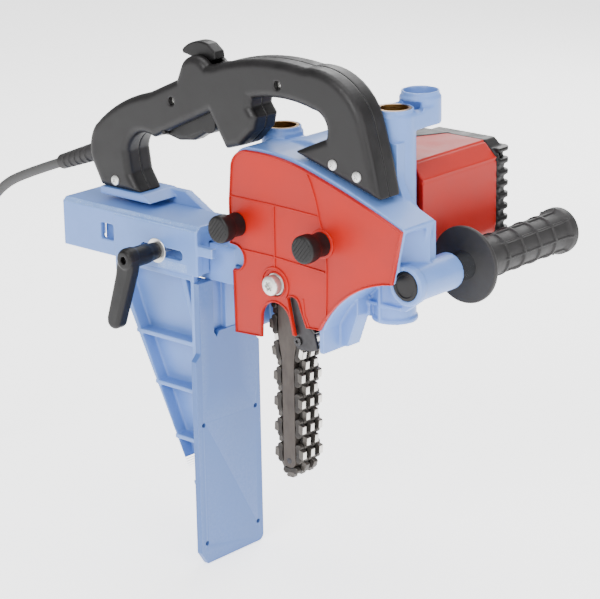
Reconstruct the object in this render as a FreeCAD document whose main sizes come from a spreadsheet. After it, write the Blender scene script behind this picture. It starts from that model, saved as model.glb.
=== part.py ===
import FreeCAD, Part
import math
import os
from FreeCAD import Placement, Rotation, Vector

# Hand-held chain mortiser, in millimetres, +Z up.
# Everything is drawn from one datum: x = 0 on the bar bolt, y = 0 on the front face of the guide bar,
# z = 0 on the nose roller. Each sub-part's Placement then moves it so that the part's origin is the
# lower mouth of the right guide bush, where a drilling stand's rod enters.
# +X is to the right of someone facing the chain cover, +Y runs back along the motor.

SIZES = {
    # guide columns
    "column_left": -39, "column_right": 84, "column_depth": 46, "column_foot": 135,
    "column_left_top": 283, "column_right_top": 315, "column_radius": 18,
    "rod_radius": 12, "bush_wall": 2.5, "bush_length": 40,
    "socket_depth": 80, "socket_top": 324, "socket_radius": 14, "socket_wall": 3.5, "socket_bore": 24,
    # chain case, cover
    "case_front": -7.2, "case_back": 28.6, "case_wall": 5, "back_wall": 4,
    "cover_front": -10, "cover_thickness": 2.5,
    "knob_radius": 12, "knob_neck": 8.5, "knob_length": 24, "knob_left": -42, "knob_right": 53.5,
    "knob_height": 207,
    # chain set
    "chain_middle": 14.5, "chain_width": 26, "chain_axis": 1.8, "chain_height": 4.6, "tooth_height": 4.6,
    "bar_half": 7, "bar_shoulder": 10.4, "bar_width": 25, "bolt_height": 162, "nose_radius": 7,
    "pin_radius": 3, "sprocket_height": 212, "sprocket_radius": 13.5, "sprocket_teeth": 7,
    # gearing and motor
    "gear_module": 1.25, "gear_teeth": 70, "pinion_teeth": 18, "gear_width": 11, "gear_start": 67,
    "gearcase_radius": 66, "gearcase_wall": 9, "gearcase_back": 80, "plate_thickness": 6,
    "motor_half": 42, "motor_top": 43.7, "motor_low": 42, "motor_back": 166, "stator_radius": 38,
    "core_radius": 21, "motor_across": 54.2, "core_start": 104, "core_length": 36, "brush_start": 150,
    "motor_shaft": 5, "output_shaft": 7,
    # fence
    "fence_left": -248, "fence_face": -80, "fence_front": -20, "fence_back": 27.5, "fence_top": 199,
    "fence_wall": 5.5, "top_wall": 6, "plate_low": -113, "plate_high": 101, "plate_width": 81,
    "plate_middle": 14.5, "plate_wall": 6, "plate_hole": 2.2, "plate_holes_y": 66.5,
    "plate_holes_z": 112, "clamp_x": -129, "clamp_z": 170.5, "slot_left": -149, "slot_right": -97.5,
    "stud_radius": 4,
    # support arm
    "arm_low": 149, "arm_high": 182, "arm_front": -4, "arm_back": 25, "riser_back": 36,
    # handle
    "handle_front": -5, "handle_back": 27.4, "handle_wall": 3, "shell_gap": 0.2,
    # side handle
    "side_x": 132, "side_z": 183, "boss_radius": 15.5, "boss_back": 65, "tube_radius": 12.5,
    "tube_wall": 2, "grip_radius": 17.5, "flange_radius": 33, "grip_start": 77, "grip_end": 214,
    # cord
    "cord_radius": 4.5, "boot_stem": 6.4, "boot_radius": 8.6, "coil_inner": 37, "coil_outer": 71, "coil_low": -111.5, "coil_high": -85,
    # clearances
    "running": 0.05, "sliding": 0.3, "seat": 0.1,
}


class Sizes:
    """The driving dimensions, readable as attributes."""

    def __init__(self, table):
        self.__dict__.update(table)


s = Sizes(SIZES)
doc = FreeCAD.newDocument("chain_mortiser")
sheet = doc.addObject("Spreadsheet::Sheet", "Sizes")
for row, (alias, value) in enumerate(SIZES.items(), 1):
    sheet.set(f"A{row}", str(value))
    sheet.setAlias(f"A{row}", alias)
doc.recompute()

nodes = []
TURN = {
    "x": Rotation(Vector(0, 1, 0), 90),
    "y": Rotation(Vector(1, 0, 0), -90),
    "z": Rotation(),
}
PLANES = {"XZ": ("XZ_Plane", -1), "YZ": ("YZ_Plane", 1), "XY": ("XY_Plane", 1)}


# ---------------------------------------------------------------- building blocks

def bind(thing, **values):
    """Sets properties; a text value is an expression on the sheet."""
    for name, value in values.items():
        if isinstance(value, str):
            thing.setExpression(name, value)
        else:
            setattr(thing, name, value)


def cylinder(name, base, axis, radius, length):
    thing = doc.addObject("Part::Cylinder", name)
    bind(thing, Radius=radius, Height=length)
    thing.Placement = Placement(Vector(*base), TURN[axis])
    return thing


def rod(name, base, direction, radius, length):
    thing = doc.addObject("Part::Cylinder", name)
    bind(thing, Radius=radius, Height=length)
    thing.Placement = Placement(Vector(*base), Rotation(Vector(0, 0, 1), Vector(*direction)))
    return thing


def box(name, low, high):
    """A box between two corners; a text corner value is an expression on the sheet."""
    thing = doc.addObject("Part::Box", name)
    for side, letter, first, last in zip(("Length", "Width", "Height"), "xyz", low, high):
        thing.setExpression(side, f"({last}) - ({first})")
        thing.setExpression(f"Placement.Base.{letter}", str(first))
    return thing


def tube(name, base, axis, outer, inner, length):
    outside = cylinder(name + "_outside", base, axis, outer, length)
    inside = cylinder(name + "_inside", base, axis, inner, length)
    return cut(name, outside, inside)


def fuse(name, *things):
    thing = doc.addObject("Part::MultiFuse", name)
    thing.Shapes = list(things)
    thing.Refine = True
    return thing


def cut(name, base, *tools):
    thing = doc.addObject("Part::Cut", name)
    thing.Base = base
    thing.Tool = tools[0] if len(tools) == 1 else fuse(name + "_tools", *tools)
    return thing


def drawn(outline):
    """Edges of a closed outline: a point, or a pair (through, end) for an arc."""
    edges = []
    last = outline[-1]
    start = last[1] if isinstance(last[0], tuple) else last
    for step in outline:
        if isinstance(step[0], tuple):
            through, end = step
            edges.append(Part.Arc(Vector(*start, 0), Vector(*through, 0), Vector(*end, 0)))
        else:
            end = step
            if end != start:
                edges.append(Part.LineSegment(Vector(*start, 0), Vector(*end, 0)))
        start = end
    return edges


def pad(name, plane, outline, start, depth, holes=()):
    """A body with one sketch on an origin plane, padded in the positive direction from start."""
    body = doc.addObject("PartDesign::Body", name)
    role, sign = PLANES[plane]
    base = next(f for f in body.Origin.OriginFeatures if f.Role == role)
    sketch = body.newObject("Sketcher::SketchObject", name + "_sketch")
    sketch.AttachmentSupport = [(base, "")]
    sketch.MapMode = "FlatFace"
    sketch.setExpression("AttachmentOffset.Base.z", f"({start}) * ({sign})")
    for edge in drawn(outline):
        sketch.addGeometry(edge)
    for x, y, radius in holes:
        sketch.addGeometry(Part.Circle(Vector(x, y, 0), Vector(0, 0, 1), radius))
    feature = body.newObject("PartDesign::Pad", name + "_pad")
    feature.Profile = sketch
    feature.Reversed = sign < 0
    bind(feature, Length=depth)
    return body


def shaped(name, shape):
    thing = doc.addObject("Part::Feature", name)
    thing.Shape = shape
    return thing


def rounded(name, base, radius, wanted):
    """Rounds the base's edges for which wanted(edge) is true."""
    doc.recompute()
    picked = [i for i, edge in enumerate(base.Shape.Edges, 1) if wanted(edge)]
    thing = doc.addObject("Part::Fillet", name)
    thing.Base = base
    thing.Edges = [(i, radius, radius) for i in picked]
    return thing


def node(label, thing):
    """Names a finished sub-part and moves it from the datum to the part's frame."""
    thing.Label = label
    shift = Placement(Vector(-s.column_right, -s.column_depth, -s.column_foot), Rotation())
    thing.Placement = shift * thing.Placement
    nodes.append(thing)
    return thing


def ring_points(x, z, radius, count, first=90):
    return [
        (x + radius * math.cos(math.radians(first + 360 * i / count)),
         z + radius * math.sin(math.radians(first + 360 * i / count)))
        for i in range(count)
    ]


# ---------------------------------------------------------------- outlines, as (x, z) from the datum

COVER_TOP = [((-40, 269.5), (-27.2, 272.7)), (-24, 273), ((10, 271.5), (30.5, 267.7)),
             ((85, 251), (137.7, 231.1))]
COVER_RIGHT = [(127.2, 185.2), ((93.5, 174.4), (49.6, 131.1))]


def cover_outline():
    left = [(-46.5, 110.1), (-47.5, 166.9), (-45, 166.9), ((-34.5, 177.6), (-45, 188.4)), (-50.4, 188.4),
            (-50.4, 226), (-47.5, 258)]
    slot = [(34.6, 130.3), (27, 148), ((21, 154.5), (14.8, 152.5)), (22.1, 120.5), (19.7, 120.5)]
    arch = [(16.9, 133), ((1, 146), (-15.2, 133)), (-16.2, 112)]
    return left + COVER_TOP + COVER_RIGHT + slot + arch


def case_outline():
    return [(-50.4, 226), (-47.5, 260), ((-40, 271.5), (-27.2, 275)), ((10, 274), (30.5, 270.7)),
            ((85, 253.5), (137.7, 232.5)), (127.2, 185.2), ((93.5, 174.4), (51, 131.1)),
            (51, 110), (-46.5, 110), (-50.4, 188)]


def chamber_outline():
    w = s.case_wall
    return [(-50.4 + w, 226), (-47.5 + w, 257), ((-38, 266.5), (-27.2, 275 - w)),
            ((10, 274 - w), (30.5, 270.7 - w)), ((83, 248.5), (130, 229)), (121.5, 190),
            ((89, 179), (46, 133)), (46, 109), (-41.5, 109), (-45.4, 188)]


# ---------------------------------------------------------------- castings

def column(name, x, top):
    height = f"({top}) - Sizes.column_foot"
    return cylinder(name, (x, s.column_depth, s.column_foot), "z", "Sizes.column_radius", height)


def column_bore(name, x, top):
    relief = s.rod_radius + 1.5
    through = cylinder(name + "_through", (x, s.column_depth, s.column_foot - 1), "z", relief, top - s.column_foot + 2)
    seats = [
        cylinder(f"{name}_seat_{i}", (x, s.column_depth, z), "z",
                 "Sizes.rod_radius + Sizes.bush_wall", "Sizes.bush_length + 1")
        for i, z in enumerate((s.column_foot - 1, top - s.bush_length))
    ]
    return fuse(name, through, *seats)


def output_axis():
    return s.chain_axis, s.sprocket_height


def motor_axis():
    spread = s.gear_module * (s.gear_teeth + s.pinion_teeth) / 2
    across = s.motor_across
    return s.chain_axis + across, s.sprocket_height + math.sqrt(spread ** 2 - across ** 2)


def main_casting():
    """Chain case, two guide columns, rod socket, gear case and side-handle boss in one casting."""
    out_x, out_z = output_axis()
    mot_x, mot_z = motor_axis()
    depth = "Sizes.case_back - Sizes.case_front"
    shell = pad("case_shell", "XZ", case_outline(), "Sizes.case_front", depth + " + Sizes.back_wall")
    chamber = pad("case_chamber", "XZ", chamber_outline(), "Sizes.case_front - 1", depth + " + 1")
    skirt = pad("case_skirt", "XZ", [(44, 110), (51, 110), (66, 140), (66, 175), (44, 150)],
                "Sizes.case_back - 4", 8)
    notch = cylinder("arm_notch", (-45.4, -8, 177.6), "y", 11, 16)
    case = cut("case", shell, chamber, notch)

    wall = s.gearcase_wall
    gear_radius = s.gearcase_radius
    dome = cylinder("dome", (out_x, 29, out_z), "y", "Sizes.gearcase_radius", "Sizes.gearcase_back - 29")
    dome_front = cylinder("dome_front_space", (out_x, 32.7, out_z), "y", gear_radius - wall, 25)
    dome_boss = cylinder("dome_boss", (out_x, 29, out_z), "y", 24, 40)
    lobe = cylinder("pinion_lobe", (mot_x, 60, mot_z), "y", 21, "Sizes.gearcase_back - 60")
    shoulder = pad("shoulder", "XZ", [(80, 290), (101, 290), (101, 270), ((112, 242), (134, 230)),
                                      (134, 176), (80, 176)], 29, 9)
    web = box("socket_web", ("Sizes.column_right - 17.5", "Sizes.column_depth", 297),
              ("Sizes.column_right + 17.5", "Sizes.socket_depth", 313))
    web_end = cylinder("socket_web_end", (s.column_right, s.socket_depth, 297), "z", 17.5, 16)
    collar = cylinder("socket_collar", (s.column_right, s.socket_depth, 300), "z",
                      "Sizes.socket_radius + Sizes.socket_wall", "Sizes.socket_top - 300")
    web_low = pad("socket_gusset", "YZ", [(s.column_depth, 262), (s.column_depth + 26, 297),
                                          (s.column_depth, 297)], "Sizes.column_right - 6", 12)
    boss = cylinder("side_boss", (s.side_x, 0.5, s.side_z), "y", "Sizes.boss_radius", "Sizes.boss_back - 0.5")
    boss_web = pad("side_boss_web", "XZ", [(88, 150), (110, 150), (136, 170), (136, 196), (112, 200),
                                           (88, 190)], 29, 5)
    boss_rib = pad("side_boss_rib", "XY", [(100, 30), (136, 30), (136, 56), (124, 56)], 180, 5)
    tower = fuse(
        "tower", column("left_column", s.column_left, "Sizes.column_left_top"),
        column("right_column", s.column_right, "Sizes.column_right_top"), shoulder, web, web_end,
        collar, web_low, boss, boss_web, boss_rib, skirt)
    lower_tie = box("column_tie", (-36, 30, 150), (84, 40, 165))
    posts = [cylinder(f"knob_post_{i}", (x, s.case_front, s.knob_height), "y", 7, s.case_back - s.case_front + 1)
             for i, x in enumerate((s.knob_left, s.knob_right))]
    taps = [cylinder(f"knob_tap_{i}", (x, s.case_front - 1, s.knob_height), "y", 3.3, 14)
            for i, x in enumerate((s.knob_left, s.knob_right))]
    gearcase = fuse("gearcase", cut("dome_shell", dome, dome_front), dome_boss, lobe)
    solid = fuse("casting_solid", case, gearcase, tower, lower_tie, *posts)

    gear_space = cylinder("gear_space", (out_x, 66, out_z), "y", gear_radius - wall, 40)
    pinion_space = cylinder("pinion_space", (mot_x, 66, mot_z), "y", 17, 40)
    shaft_hole = cylinder("shaft_hole", (out_x, 20, out_z), "y", "Sizes.output_shaft + 1.5", 60)
    front_seat = cylinder("front_bearing_seat", (out_x, 27, out_z), "y", 17.5 + s.seat, 12.6)
    socket = cylinder("socket_hole", (s.column_right, s.socket_depth, s.socket_top - s.socket_bore), "z",
                      "Sizes.socket_radius", 60)
    boss_hole = cylinder("side_boss_hole", (s.side_x, -5, s.side_z), "y",
                         "Sizes.tube_radius + Sizes.running", 80)
    bolt_hole = cylinder("bar_bolt_hole", (0, 20, s.bolt_height), "y", 5, 30)
    return node("main_casting", cut(
        "main_casting", solid, gear_space, pinion_space, shaft_hole, front_seat, socket, boss_hole,
        bolt_hole, *taps, column_bore("left_bore", s.column_left, s.column_left_top),
        column_bore("right_bore", s.column_right, s.column_right_top)))


def guide_bushes():
    for side, x, top in (("left", s.column_left, s.column_left_top),
                         ("right", s.column_right, s.column_right_top)):
        for end, low in (("lower", s.column_foot), ("upper", top - s.bush_length)):
            name = f"guide_bush_{side}_{end}"
            node(name, tube(name, (x, s.column_depth, low), "z", "Sizes.rod_radius + Sizes.bush_wall",
                            "Sizes.rod_radius", "Sizes.bush_length"))


def support_arm():
    """Arm that carries the fence and the rear foot of the handle."""
    rail = box("arm_rail", (-206, "Sizes.arm_front", "Sizes.arm_low"),
               (-51, "Sizes.arm_back", "Sizes.arm_high"))
    root = box("arm_root", (-60, 4, "Sizes.arm_low"), ("-50.6", "Sizes.arm_back", 186))
    lug = box("arm_lug", (-60, -3, 168.5), (-47, 2, 187))
    lug_end = cylinder("arm_lug_end", (-46, -3, 177.6), "y", 9.6, 5)
    heel = box("arm_heel", (-206, "Sizes.arm_back - 1", "Sizes.arm_low"), (-140, "Sizes.riser_back", "Sizes.arm_high"))
    riser = pad("arm_riser", "XZ", [(-214, 160), (-95, 160), (-95, 186), (-140, 211), (-214, 211)],
                "Sizes.fence_back + Sizes.sliding", "Sizes.riser_back - Sizes.fence_back - Sizes.sliding")
    top = pad("arm_pad", "XZ", [(-214, 204.5), (-150, 204.5), (-160, 211.5), (-214, 211.5)],
              "Sizes.handle_front", "Sizes.riser_back - Sizes.handle_front")
    whole = fuse("arm_solid", rail, root, lug, lug_end, heel, riser, top)
    stud_hole = cylinder("clamp_stud_hole", (s.clamp_x, -10, s.clamp_z), "y",
                         "Sizes.stud_radius + Sizes.running", 26)
    return node("support_arm", cut("support_arm", whole, stud_hole))


def fence():
    """Sliding fence: a hollow carriage, a ribbed bracket and the guide plate."""
    front, wall = s.fence_front, s.fence_wall
    left, face, top = s.fence_left, s.fence_face, s.fence_top
    low = 155
    back = front + wall
    front_wall = pad("carriage_front", "XZ", [(left, low), (face, low), (face, top - 3), (left, top - 3)],
                     "Sizes.fence_front", "Sizes.fence_wall")
    top_wall = pad("carriage_top", "YZ", [
        (front, 190), (front, top - 4), (front + 4, top), (s.fence_back, top),
        (s.fence_back, top - s.top_wall), (back, top - s.top_wall), (back, 190)],
        "Sizes.fence_left", "Sizes.fence_face - Sizes.fence_left")
    end_wall = box("carriage_end", ("Sizes.fence_left", front, low), ("Sizes.fence_left + 5", "Sizes.fence_back", 196))
    shoe = box("carriage_shoe", (-130, 0, "Sizes.arm_high + Sizes.sliding"), (face, 18, 195))
    lug = box("carriage_lug", (face - 2, front, 174), (face + 17, front + 6, 182.5))
    window = box("carriage_window", (-199.5, front - 1, 169), (-183.5, back + 1, 183.6))
    slot = fuse(
        "clamp_slot",
        box("slot_middle", ("Sizes.slot_left + 4.5", front - 1, s.clamp_z - 4.5), ("Sizes.slot_right - 4.5", back + 1, s.clamp_z + 4.5)),
        cylinder("slot_end_left", (s.slot_left + 4.5, front - 1, s.clamp_z), "y", 4.5, wall + 2),
        cylinder("slot_end_right", (s.slot_right - 4.5, front - 1, s.clamp_z), "y", 4.5, wall + 2))
    carriage = cut("carriage", fuse("carriage_solid", front_wall, top_wall, end_wall, shoe, lug), window, slot)
    node("fence_carriage", carriage)

    inner = face - s.plate_wall
    outer = [(-182, low), (-182, 143), (-177, 142), (-166.5, 111), (inner, -52), (inner, low)]
    inside = [(-176, 150), (-172, 139), (-161, 110), (inner - 8, -36), (inner - 4, -36), (inner - 4, 150)]
    rim = pad("bracket_rim", "XZ", outer, "Sizes.fence_front", 40)
    front_hollow = pad("bracket_front_hollow", "XZ", inside, "Sizes.fence_front - 1", 14)
    back_hollow = pad("bracket_back_hollow", "XZ", inside, "Sizes.fence_front + 17", 30)
    ribs = []
    for i, height in enumerate((92, 48, 2)):
        reach = inner - (height + 52) * 0.49 - 2
        ribs.append(box(f"bracket_rib_{i}", (reach, front, height - 2), (inner - 2, front + 40, height + 2)))
    brace = pad("bracket_brace", "XZ", [(-106, 150), (-100, 150), (inner - 1, 100), (inner - 1, 88)],
                "Sizes.fence_front + 4", 12)
    arm_space = box("bracket_arm_space", (-260, back, "Sizes.arm_low - 0.5"), (face + 1, 60, 200))
    bracket = fuse("bracket", cut("bracket_shell", rim, front_hollow, back_hollow), brace, *ribs)
    node("fence_bracket", cut("fence_bracket", bracket, arm_space))

    first = s.plate_middle - s.plate_width / 2
    last = s.plate_middle + s.plate_width / 2
    low_edge, high_edge = s.plate_low, s.plate_high
    neck = s.arm_low - 0.5
    outline = [(first, low_edge + 12), (first + 8, low_edge), (last - 6, low_edge), (last, low_edge + 6),
               (last, high_edge - 21), (last - 20, high_edge), (front + 40, high_edge), (front + 40, neck),
               (front, neck), (front, high_edge - 16), (first, high_edge - 22)]
    holes_y = s.plate_holes_y / 2
    holes_z = s.plate_holes_z / 2
    holes = [(s.plate_middle + a * holes_y, -37 + b * holes_z, s.plate_hole) for a in (-1, 1) for b in (-1, 1)]
    node("fence_plate", pad("fence_plate", "YZ", outline, "Sizes.fence_face - Sizes.plate_wall",
                            "Sizes.plate_wall", holes))


# ---------------------------------------------------------------- cover

def chain_cover():
    plate = pad("cover_plate", "XZ", cover_outline(), "Sizes.cover_front", "Sizes.cover_thickness")
    rib = 1.4
    out = s.cover_front - 1.2
    ribs = [
        box("cover_rib_top", (-49, out, 231 - rib / 2), (48.5, s.cover_front + 1, 231 + rib / 2)),
        box("cover_rib_low", (-36, out, 186 - rib / 2), (53, s.cover_front + 1, 186 + rib / 2)),
        box("cover_rib_middle", (0.7 - rib / 2, out, 178), (0.7 + rib / 2, s.cover_front + 1, 231)),
        box("cover_rib_right", (56.2 - rib / 2, out, 141), (56.2 + rib / 2, s.cover_front + 1, 200)),
        pad("cover_rib_curve", "XZ", [(36.5, 259), (38, 259), ((48.5, 245), (50.5, 229)), (57, 204),
                                      (55.6, 204), (49, 229), ((47, 245), (36.5, 258))], out, 2.2),
        tube("cover_boss_ring", (0.5, out, s.bolt_height), "y", 15.2, 13.4, 2.2),
    ]
    sockets = [cylinder(f"knob_seat_{i}", (x, s.cover_front - 1.5, s.knob_height), "y", 10.5, 2.5)
               for i, x in enumerate((s.knob_right,))]
    hole = cylinder("cover_bolt_hole", (0.5, -20, s.bolt_height), "y", 10.2, 30)
    knob_holes = [cylinder(f"cover_knob_hole_{i}", (x, -20, s.knob_height), "y", 3.3, 30)
                  for i, x in enumerate((s.knob_left, s.knob_right))]
    whole = fuse("cover_solid", plate, *ribs, *sockets)
    node("chain_cover", cut("chain_cover", whole, hole, *knob_holes))


def cover_knobs():
    for side, x in (("left", s.knob_left), ("right", s.knob_right)):
        start = s.cover_front - (1.5 if side == "right" else 0) - 0.2
        neck = cylinder(f"knob_{side}_neck", (x, start - s.knob_length, s.knob_height), "y",
                        "Sizes.knob_neck", "Sizes.knob_length")
        head = cylinder(f"knob_{side}_head", (x, start - s.knob_length, s.knob_height), "y",
                        "Sizes.knob_radius", 13)
        stud = cylinder(f"knob_{side}_stud", (x, start - 2, s.knob_height), "y", 3, 12)
        node(f"cover_knob_{side}", fuse(f"cover_knob_{side}", neck, head, stud))


# ---------------------------------------------------------------- chain set

def chain_path(offset):
    """The chain's loop, offset outwards from the guide bar's edge and the sprocket."""
    x, top = s.chain_axis, s.sprocket_height
    low = s.bar_half + offset
    high = s.bar_shoulder + offset
    cap = s.sprocket_radius + offset
    return [(x - low, 0), (x - low, 92), (x - high, 108), (x - cap, top), ((x, top + cap), (x + cap, top)),
            (x + high, 108), (x + low, 92), (x + low, 0), ((x, -low), (x - low, 0))]


def chain_set():
    gap = s.sliding
    middle = s.chain_middle
    low, high = middle - s.chain_width / 2, middle + s.chain_width / 2
    band = cut("chain_band",
               pad("chain_outside", "XZ", chain_path(gap + s.chain_height), low, "Sizes.chain_width"),
               pad("chain_inside", "XZ", chain_path(gap), low - 1, "Sizes.chain_width + 2"))
    reach = s.bar_half + gap + s.chain_height
    teeth = []
    pitch = 12.7
    for i in range(7):
        z = 6 + i * pitch
        for side in (-1, 1):
            for j, y in enumerate((low, middle - 3, high - 6)):
                first = s.chain_axis + side * (reach - 1)
                last = s.chain_axis + side * (reach + s.tooth_height)
                teeth.append(box(f"tooth_{i}_{side + 1}_{j}", (min(first, last), y, z + 3 * (j % 2)),
                                 (max(first, last), y + 6, z + 6 + 3 * (j % 2))))
    tip = [cylinder("nose_tooth", (s.chain_axis, low + 4, -reach + 1), "y", 4, 5),
           cylinder("nose_tooth_back", (s.chain_axis, high - 9, -reach + 1), "y", 4, 5)]
    node("chain", fuse("chain", band, *teeth, *tip))

    x = s.chain_axis
    bar_low, bar_high = s.bar_half, s.bar_shoulder
    outline = [(x - bar_low, 0), (x - bar_low, 92), (x - bar_high, 108), (x - bar_high, 190),
               (x + bar_high, 190), (x + bar_high, 108), (x + bar_low, 92), (x + bar_low, 0),
               ((x, -bar_low), (x - bar_low, 0))]
    start = middle - s.bar_width / 2
    blank = pad("bar_blank", "XZ", outline, start, "Sizes.bar_width")
    fork = box("nose_fork", (x - 20, middle - 4.3, -20), (x + 20, middle + 4.3, 8))
    pin_hole = cylinder("nose_pin_hole", (x, start - 1, 0), "y", "Sizes.pin_radius", "Sizes.bar_width + 2")
    bolt_slot = box("bar_bolt_slot", (-5.2, start - 1, s.bolt_height - 12), (5.2, start + s.bar_width + 1, s.bolt_height + 12))
    bar = cut("guide_bar", blank, fork, pin_hole, bolt_slot)
    node("guide_bar", bar)
    node("nose_pin", cylinder("nose_pin", (x, start, 0), "y", "Sizes.pin_radius", "Sizes.bar_width"))
    node("nose_roller", tube("nose_roller", (x, middle - 4, 0), "y", "Sizes.nose_radius",
                             "Sizes.pin_radius + Sizes.running", 8))

    back = s.case_back
    bolt = fuse("bar_bolt_solid",
                cylinder("bar_bolt_head", (0, -18, s.bolt_height), "y", 8.7, 8),
                cylinder("bar_bolt_shank", (0, -10, s.bolt_height), "y", 4.9, back + 10 + s.back_wall))
    recess = pad("bar_bolt_recess", "XZ", ring_points(0, s.bolt_height, 5, 6), -19, 5)
    node("bar_bolt", cut("bar_bolt", bolt, recess))
    spacer = tube("bar_spacer", (0, start + s.bar_width, s.bolt_height), "y", 8, 5, back - start - s.bar_width)
    node("bar_spacer", spacer)
    node("bar_washer", tube("bar_washer", (0, -10, s.bolt_height), "y", 9.6, 5, start + 10))

    # chip deflector: a pivoting steel plate beside the working strand
    plate = pad("deflector_plate", "XZ", [(15.5, 151), ((21, 153.5), (26, 148)), (33.5, 131), (40, 126),
                                          (36.5, 109.5), (24, 110.5), (20.5, 116)], -6.6, 3)
    pivot = cylinder("deflector_pivot_hole", (22.6, -9, 115.6), "y", 2.6, 8)
    node("chip_deflector", cut("chip_deflector", plate, pivot))
    node("deflector_pin", fuse("deflector_pin",
                               cylinder("deflector_pin_head", (22.6, -8.6, 115.6), "y", 3.6, 1.9),
                               cylinder("deflector_pin_shank", (22.6, -7, 115.6), "y", 2.5,
                                        "Sizes.case_back + 7")))


# ---------------------------------------------------------------- drive

def involute_gear(teeth, module, bore, width, x, y, z, turn, slack=0.12):
    """A spur gear about Y with involute flanks of 20 degrees."""
    pitch_radius = module * teeth / 2
    base_radius = pitch_radius * math.cos(math.radians(20))
    tip = pitch_radius + module
    root = pitch_radius - 1.25 * module
    spread = math.tan(math.radians(20)) - math.radians(20)
    half_tooth = math.pi / (2 * teeth) - slack / (2 * pitch_radius)

    def flank(radius):
        if radius <= base_radius:
            return half_tooth + spread
        angle = math.acos(base_radius / radius)
        return half_tooth + spread - (math.tan(angle) - angle)

    radii = [root + (tip - root) * i / 4 for i in range(5)]
    points = []
    for i in range(teeth):
        centre = 2 * math.pi * i / teeth + turn
        sides = [(centre - flank(r), r) for r in radii] + [(centre + flank(r), r) for r in reversed(radii)]
        points += [Vector(x + r * math.cos(a), y, z + r * math.sin(a)) for a, r in sides]
    wire = Part.makePolygon(points + points[:1])
    blank = Part.Face(wire).extrude(Vector(0, width, 0))
    hole = Part.makeCylinder(bore, width + 2, Vector(x, y - 1, z), Vector(0, 1, 0))
    return blank.cut(hole)


def drive():
    out_x, out_z = output_axis()
    mot_x, mot_z = motor_axis()
    shaft = s.output_shaft
    low = s.chain_middle - s.chain_width / 2 + 1
    toward = math.atan2(mot_z - out_z, mot_x - out_x)
    node("output_shaft", cylinder("output_shaft", (out_x, low - 3, out_z), "y", "Sizes.output_shaft",
                                  s.gearcase_back + s.plate_thickness - low + 2))
    gear = involute_gear(s.gear_teeth, s.gear_module, shaft, s.gear_width, out_x, s.gear_start, out_z, toward)
    node("drive_gear", shaped("drive_gear", gear))
    step = 360 / s.sprocket_teeth
    outline = []
    for i in range(s.sprocket_teeth):
        for turn, radius in ((-0.3, 9.5), (-0.16, s.sprocket_radius), (0.16, s.sprocket_radius), (0.3, 9.5)):
            angle = math.radians(90 + (i + turn) * step)
            outline.append((out_x + radius * math.cos(angle), out_z + radius * math.sin(angle)))
    node("sprocket", pad("sprocket", "XZ", outline, low + 2, "Sizes.chain_width - 6",
                         [(out_x, out_z, s.output_shaft)]))
    node("sprocket_nut", cut("sprocket_nut",
                             pad("nut_blank", "XZ", ring_points(out_x, out_z, 10.5, 6), low - 3, 5),
                             cylinder("nut_hole", (out_x, low - 5, out_z), "y", "Sizes.output_shaft", 9)))
    pinion_y = s.gear_start - 1
    pinion_turn = toward + math.pi + math.pi / s.pinion_teeth
    pinion = involute_gear(s.pinion_teeth, s.gear_module, s.motor_shaft, s.gear_width + 1, mot_x, pinion_y,
                           mot_z, pinion_turn)
    node("motor_pinion", shaped("motor_pinion", pinion))
    front, back = 91, s.motor_back + 6
    node("armature_shaft", cylinder("armature_shaft", (mot_x, pinion_y, mot_z), "y", "Sizes.motor_shaft",
                                    back - pinion_y))
    node("armature_core", tube("armature_core", (mot_x, s.core_start, mot_z), "y", "Sizes.core_radius",
                               "Sizes.motor_shaft", "Sizes.core_length"))
    node("commutator", tube("commutator", (mot_x, s.brush_start - 2, mot_z), "y", 12, "Sizes.motor_shaft", 13))
    hub = tube("fan_hub", (mot_x, front, mot_z), "y", 10, "Sizes.motor_shaft", 8)
    disc = tube("fan_disc", (mot_x, front, mot_z), "y", 33, 9, 1.5)
    blades = []
    for i in range(12):
        blade = box(f"fan_blade_{i}", (9.5, 0, -0.7), (32.5, 8, 0.7))
        blade_turned = doc.addObject("Part::Compound", f"fan_blade_turned_{i}")
        blade_turned.Links = [blade]
        blade_turned.Placement = Placement(Vector(mot_x, front, mot_z), Rotation(Vector(0, 1, 0), 30 * i))
        blades.append(blade_turned)
    node("cooling_fan", fuse("cooling_fan", hub, disc, *blades))
    node("stator", tube("stator", (mot_x, s.core_start, mot_z), "y", "Sizes.stator_radius - Sizes.seat",
                        "Sizes.core_radius + 0.6", "Sizes.core_length"))
    start = s.brush_start
    node("carbon_brushes", fuse("carbon_brushes", *[
        box(f"brush_{i}", (mot_x - 4, start, mot_z + z), (mot_x + 4, start + 8, mot_z + z + 14))
        for i, z in enumerate((12.1, -26.1))]))
    holders = []
    for i, (low_z, high_z) in enumerate(((15, 37), (-37, -15))):
        sleeve = box(f"holder_{i}", (mot_x - 6, start - 2, mot_z + low_z), (mot_x + 6, start + 10, mot_z + high_z))
        inside = box(f"holder_room_{i}", (mot_x - 4, start, mot_z + (low_z - 1 if i == 0 else -26.1)),
                     (mot_x + 4, start + 8, mot_z + (26.1 if i == 0 else high_z + 1)))
        holders.append(cut(f"brush_holder_{i}", sleeve, inside))
    node("brush_holders", fuse("brush_holders", *holders))


def bearings():
    out_x, out_z = output_axis()
    mot_x, mot_z = motor_axis()
    back = s.gearcase_back
    shaft, motor = "Sizes.output_shaft + Sizes.running", "Sizes.motor_shaft + Sizes.running"
    for name, x, z, y, outer, inner, width in (
            ("output_bearing_front", out_x, out_z, 28.4, 17.5, shaft, 11),
            ("output_bearing_rear", out_x, out_z, back - 1, 15, shaft, 6),
            ("motor_bearing_front", mot_x, mot_z, back - 1, 13, motor, 6),
            ("motor_bearing_rear", mot_x, mot_z, s.motor_back - 3, 11, motor, 8)):
        node(name, tube(name, (x, y, z), "y", outer, inner, width))


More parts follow.
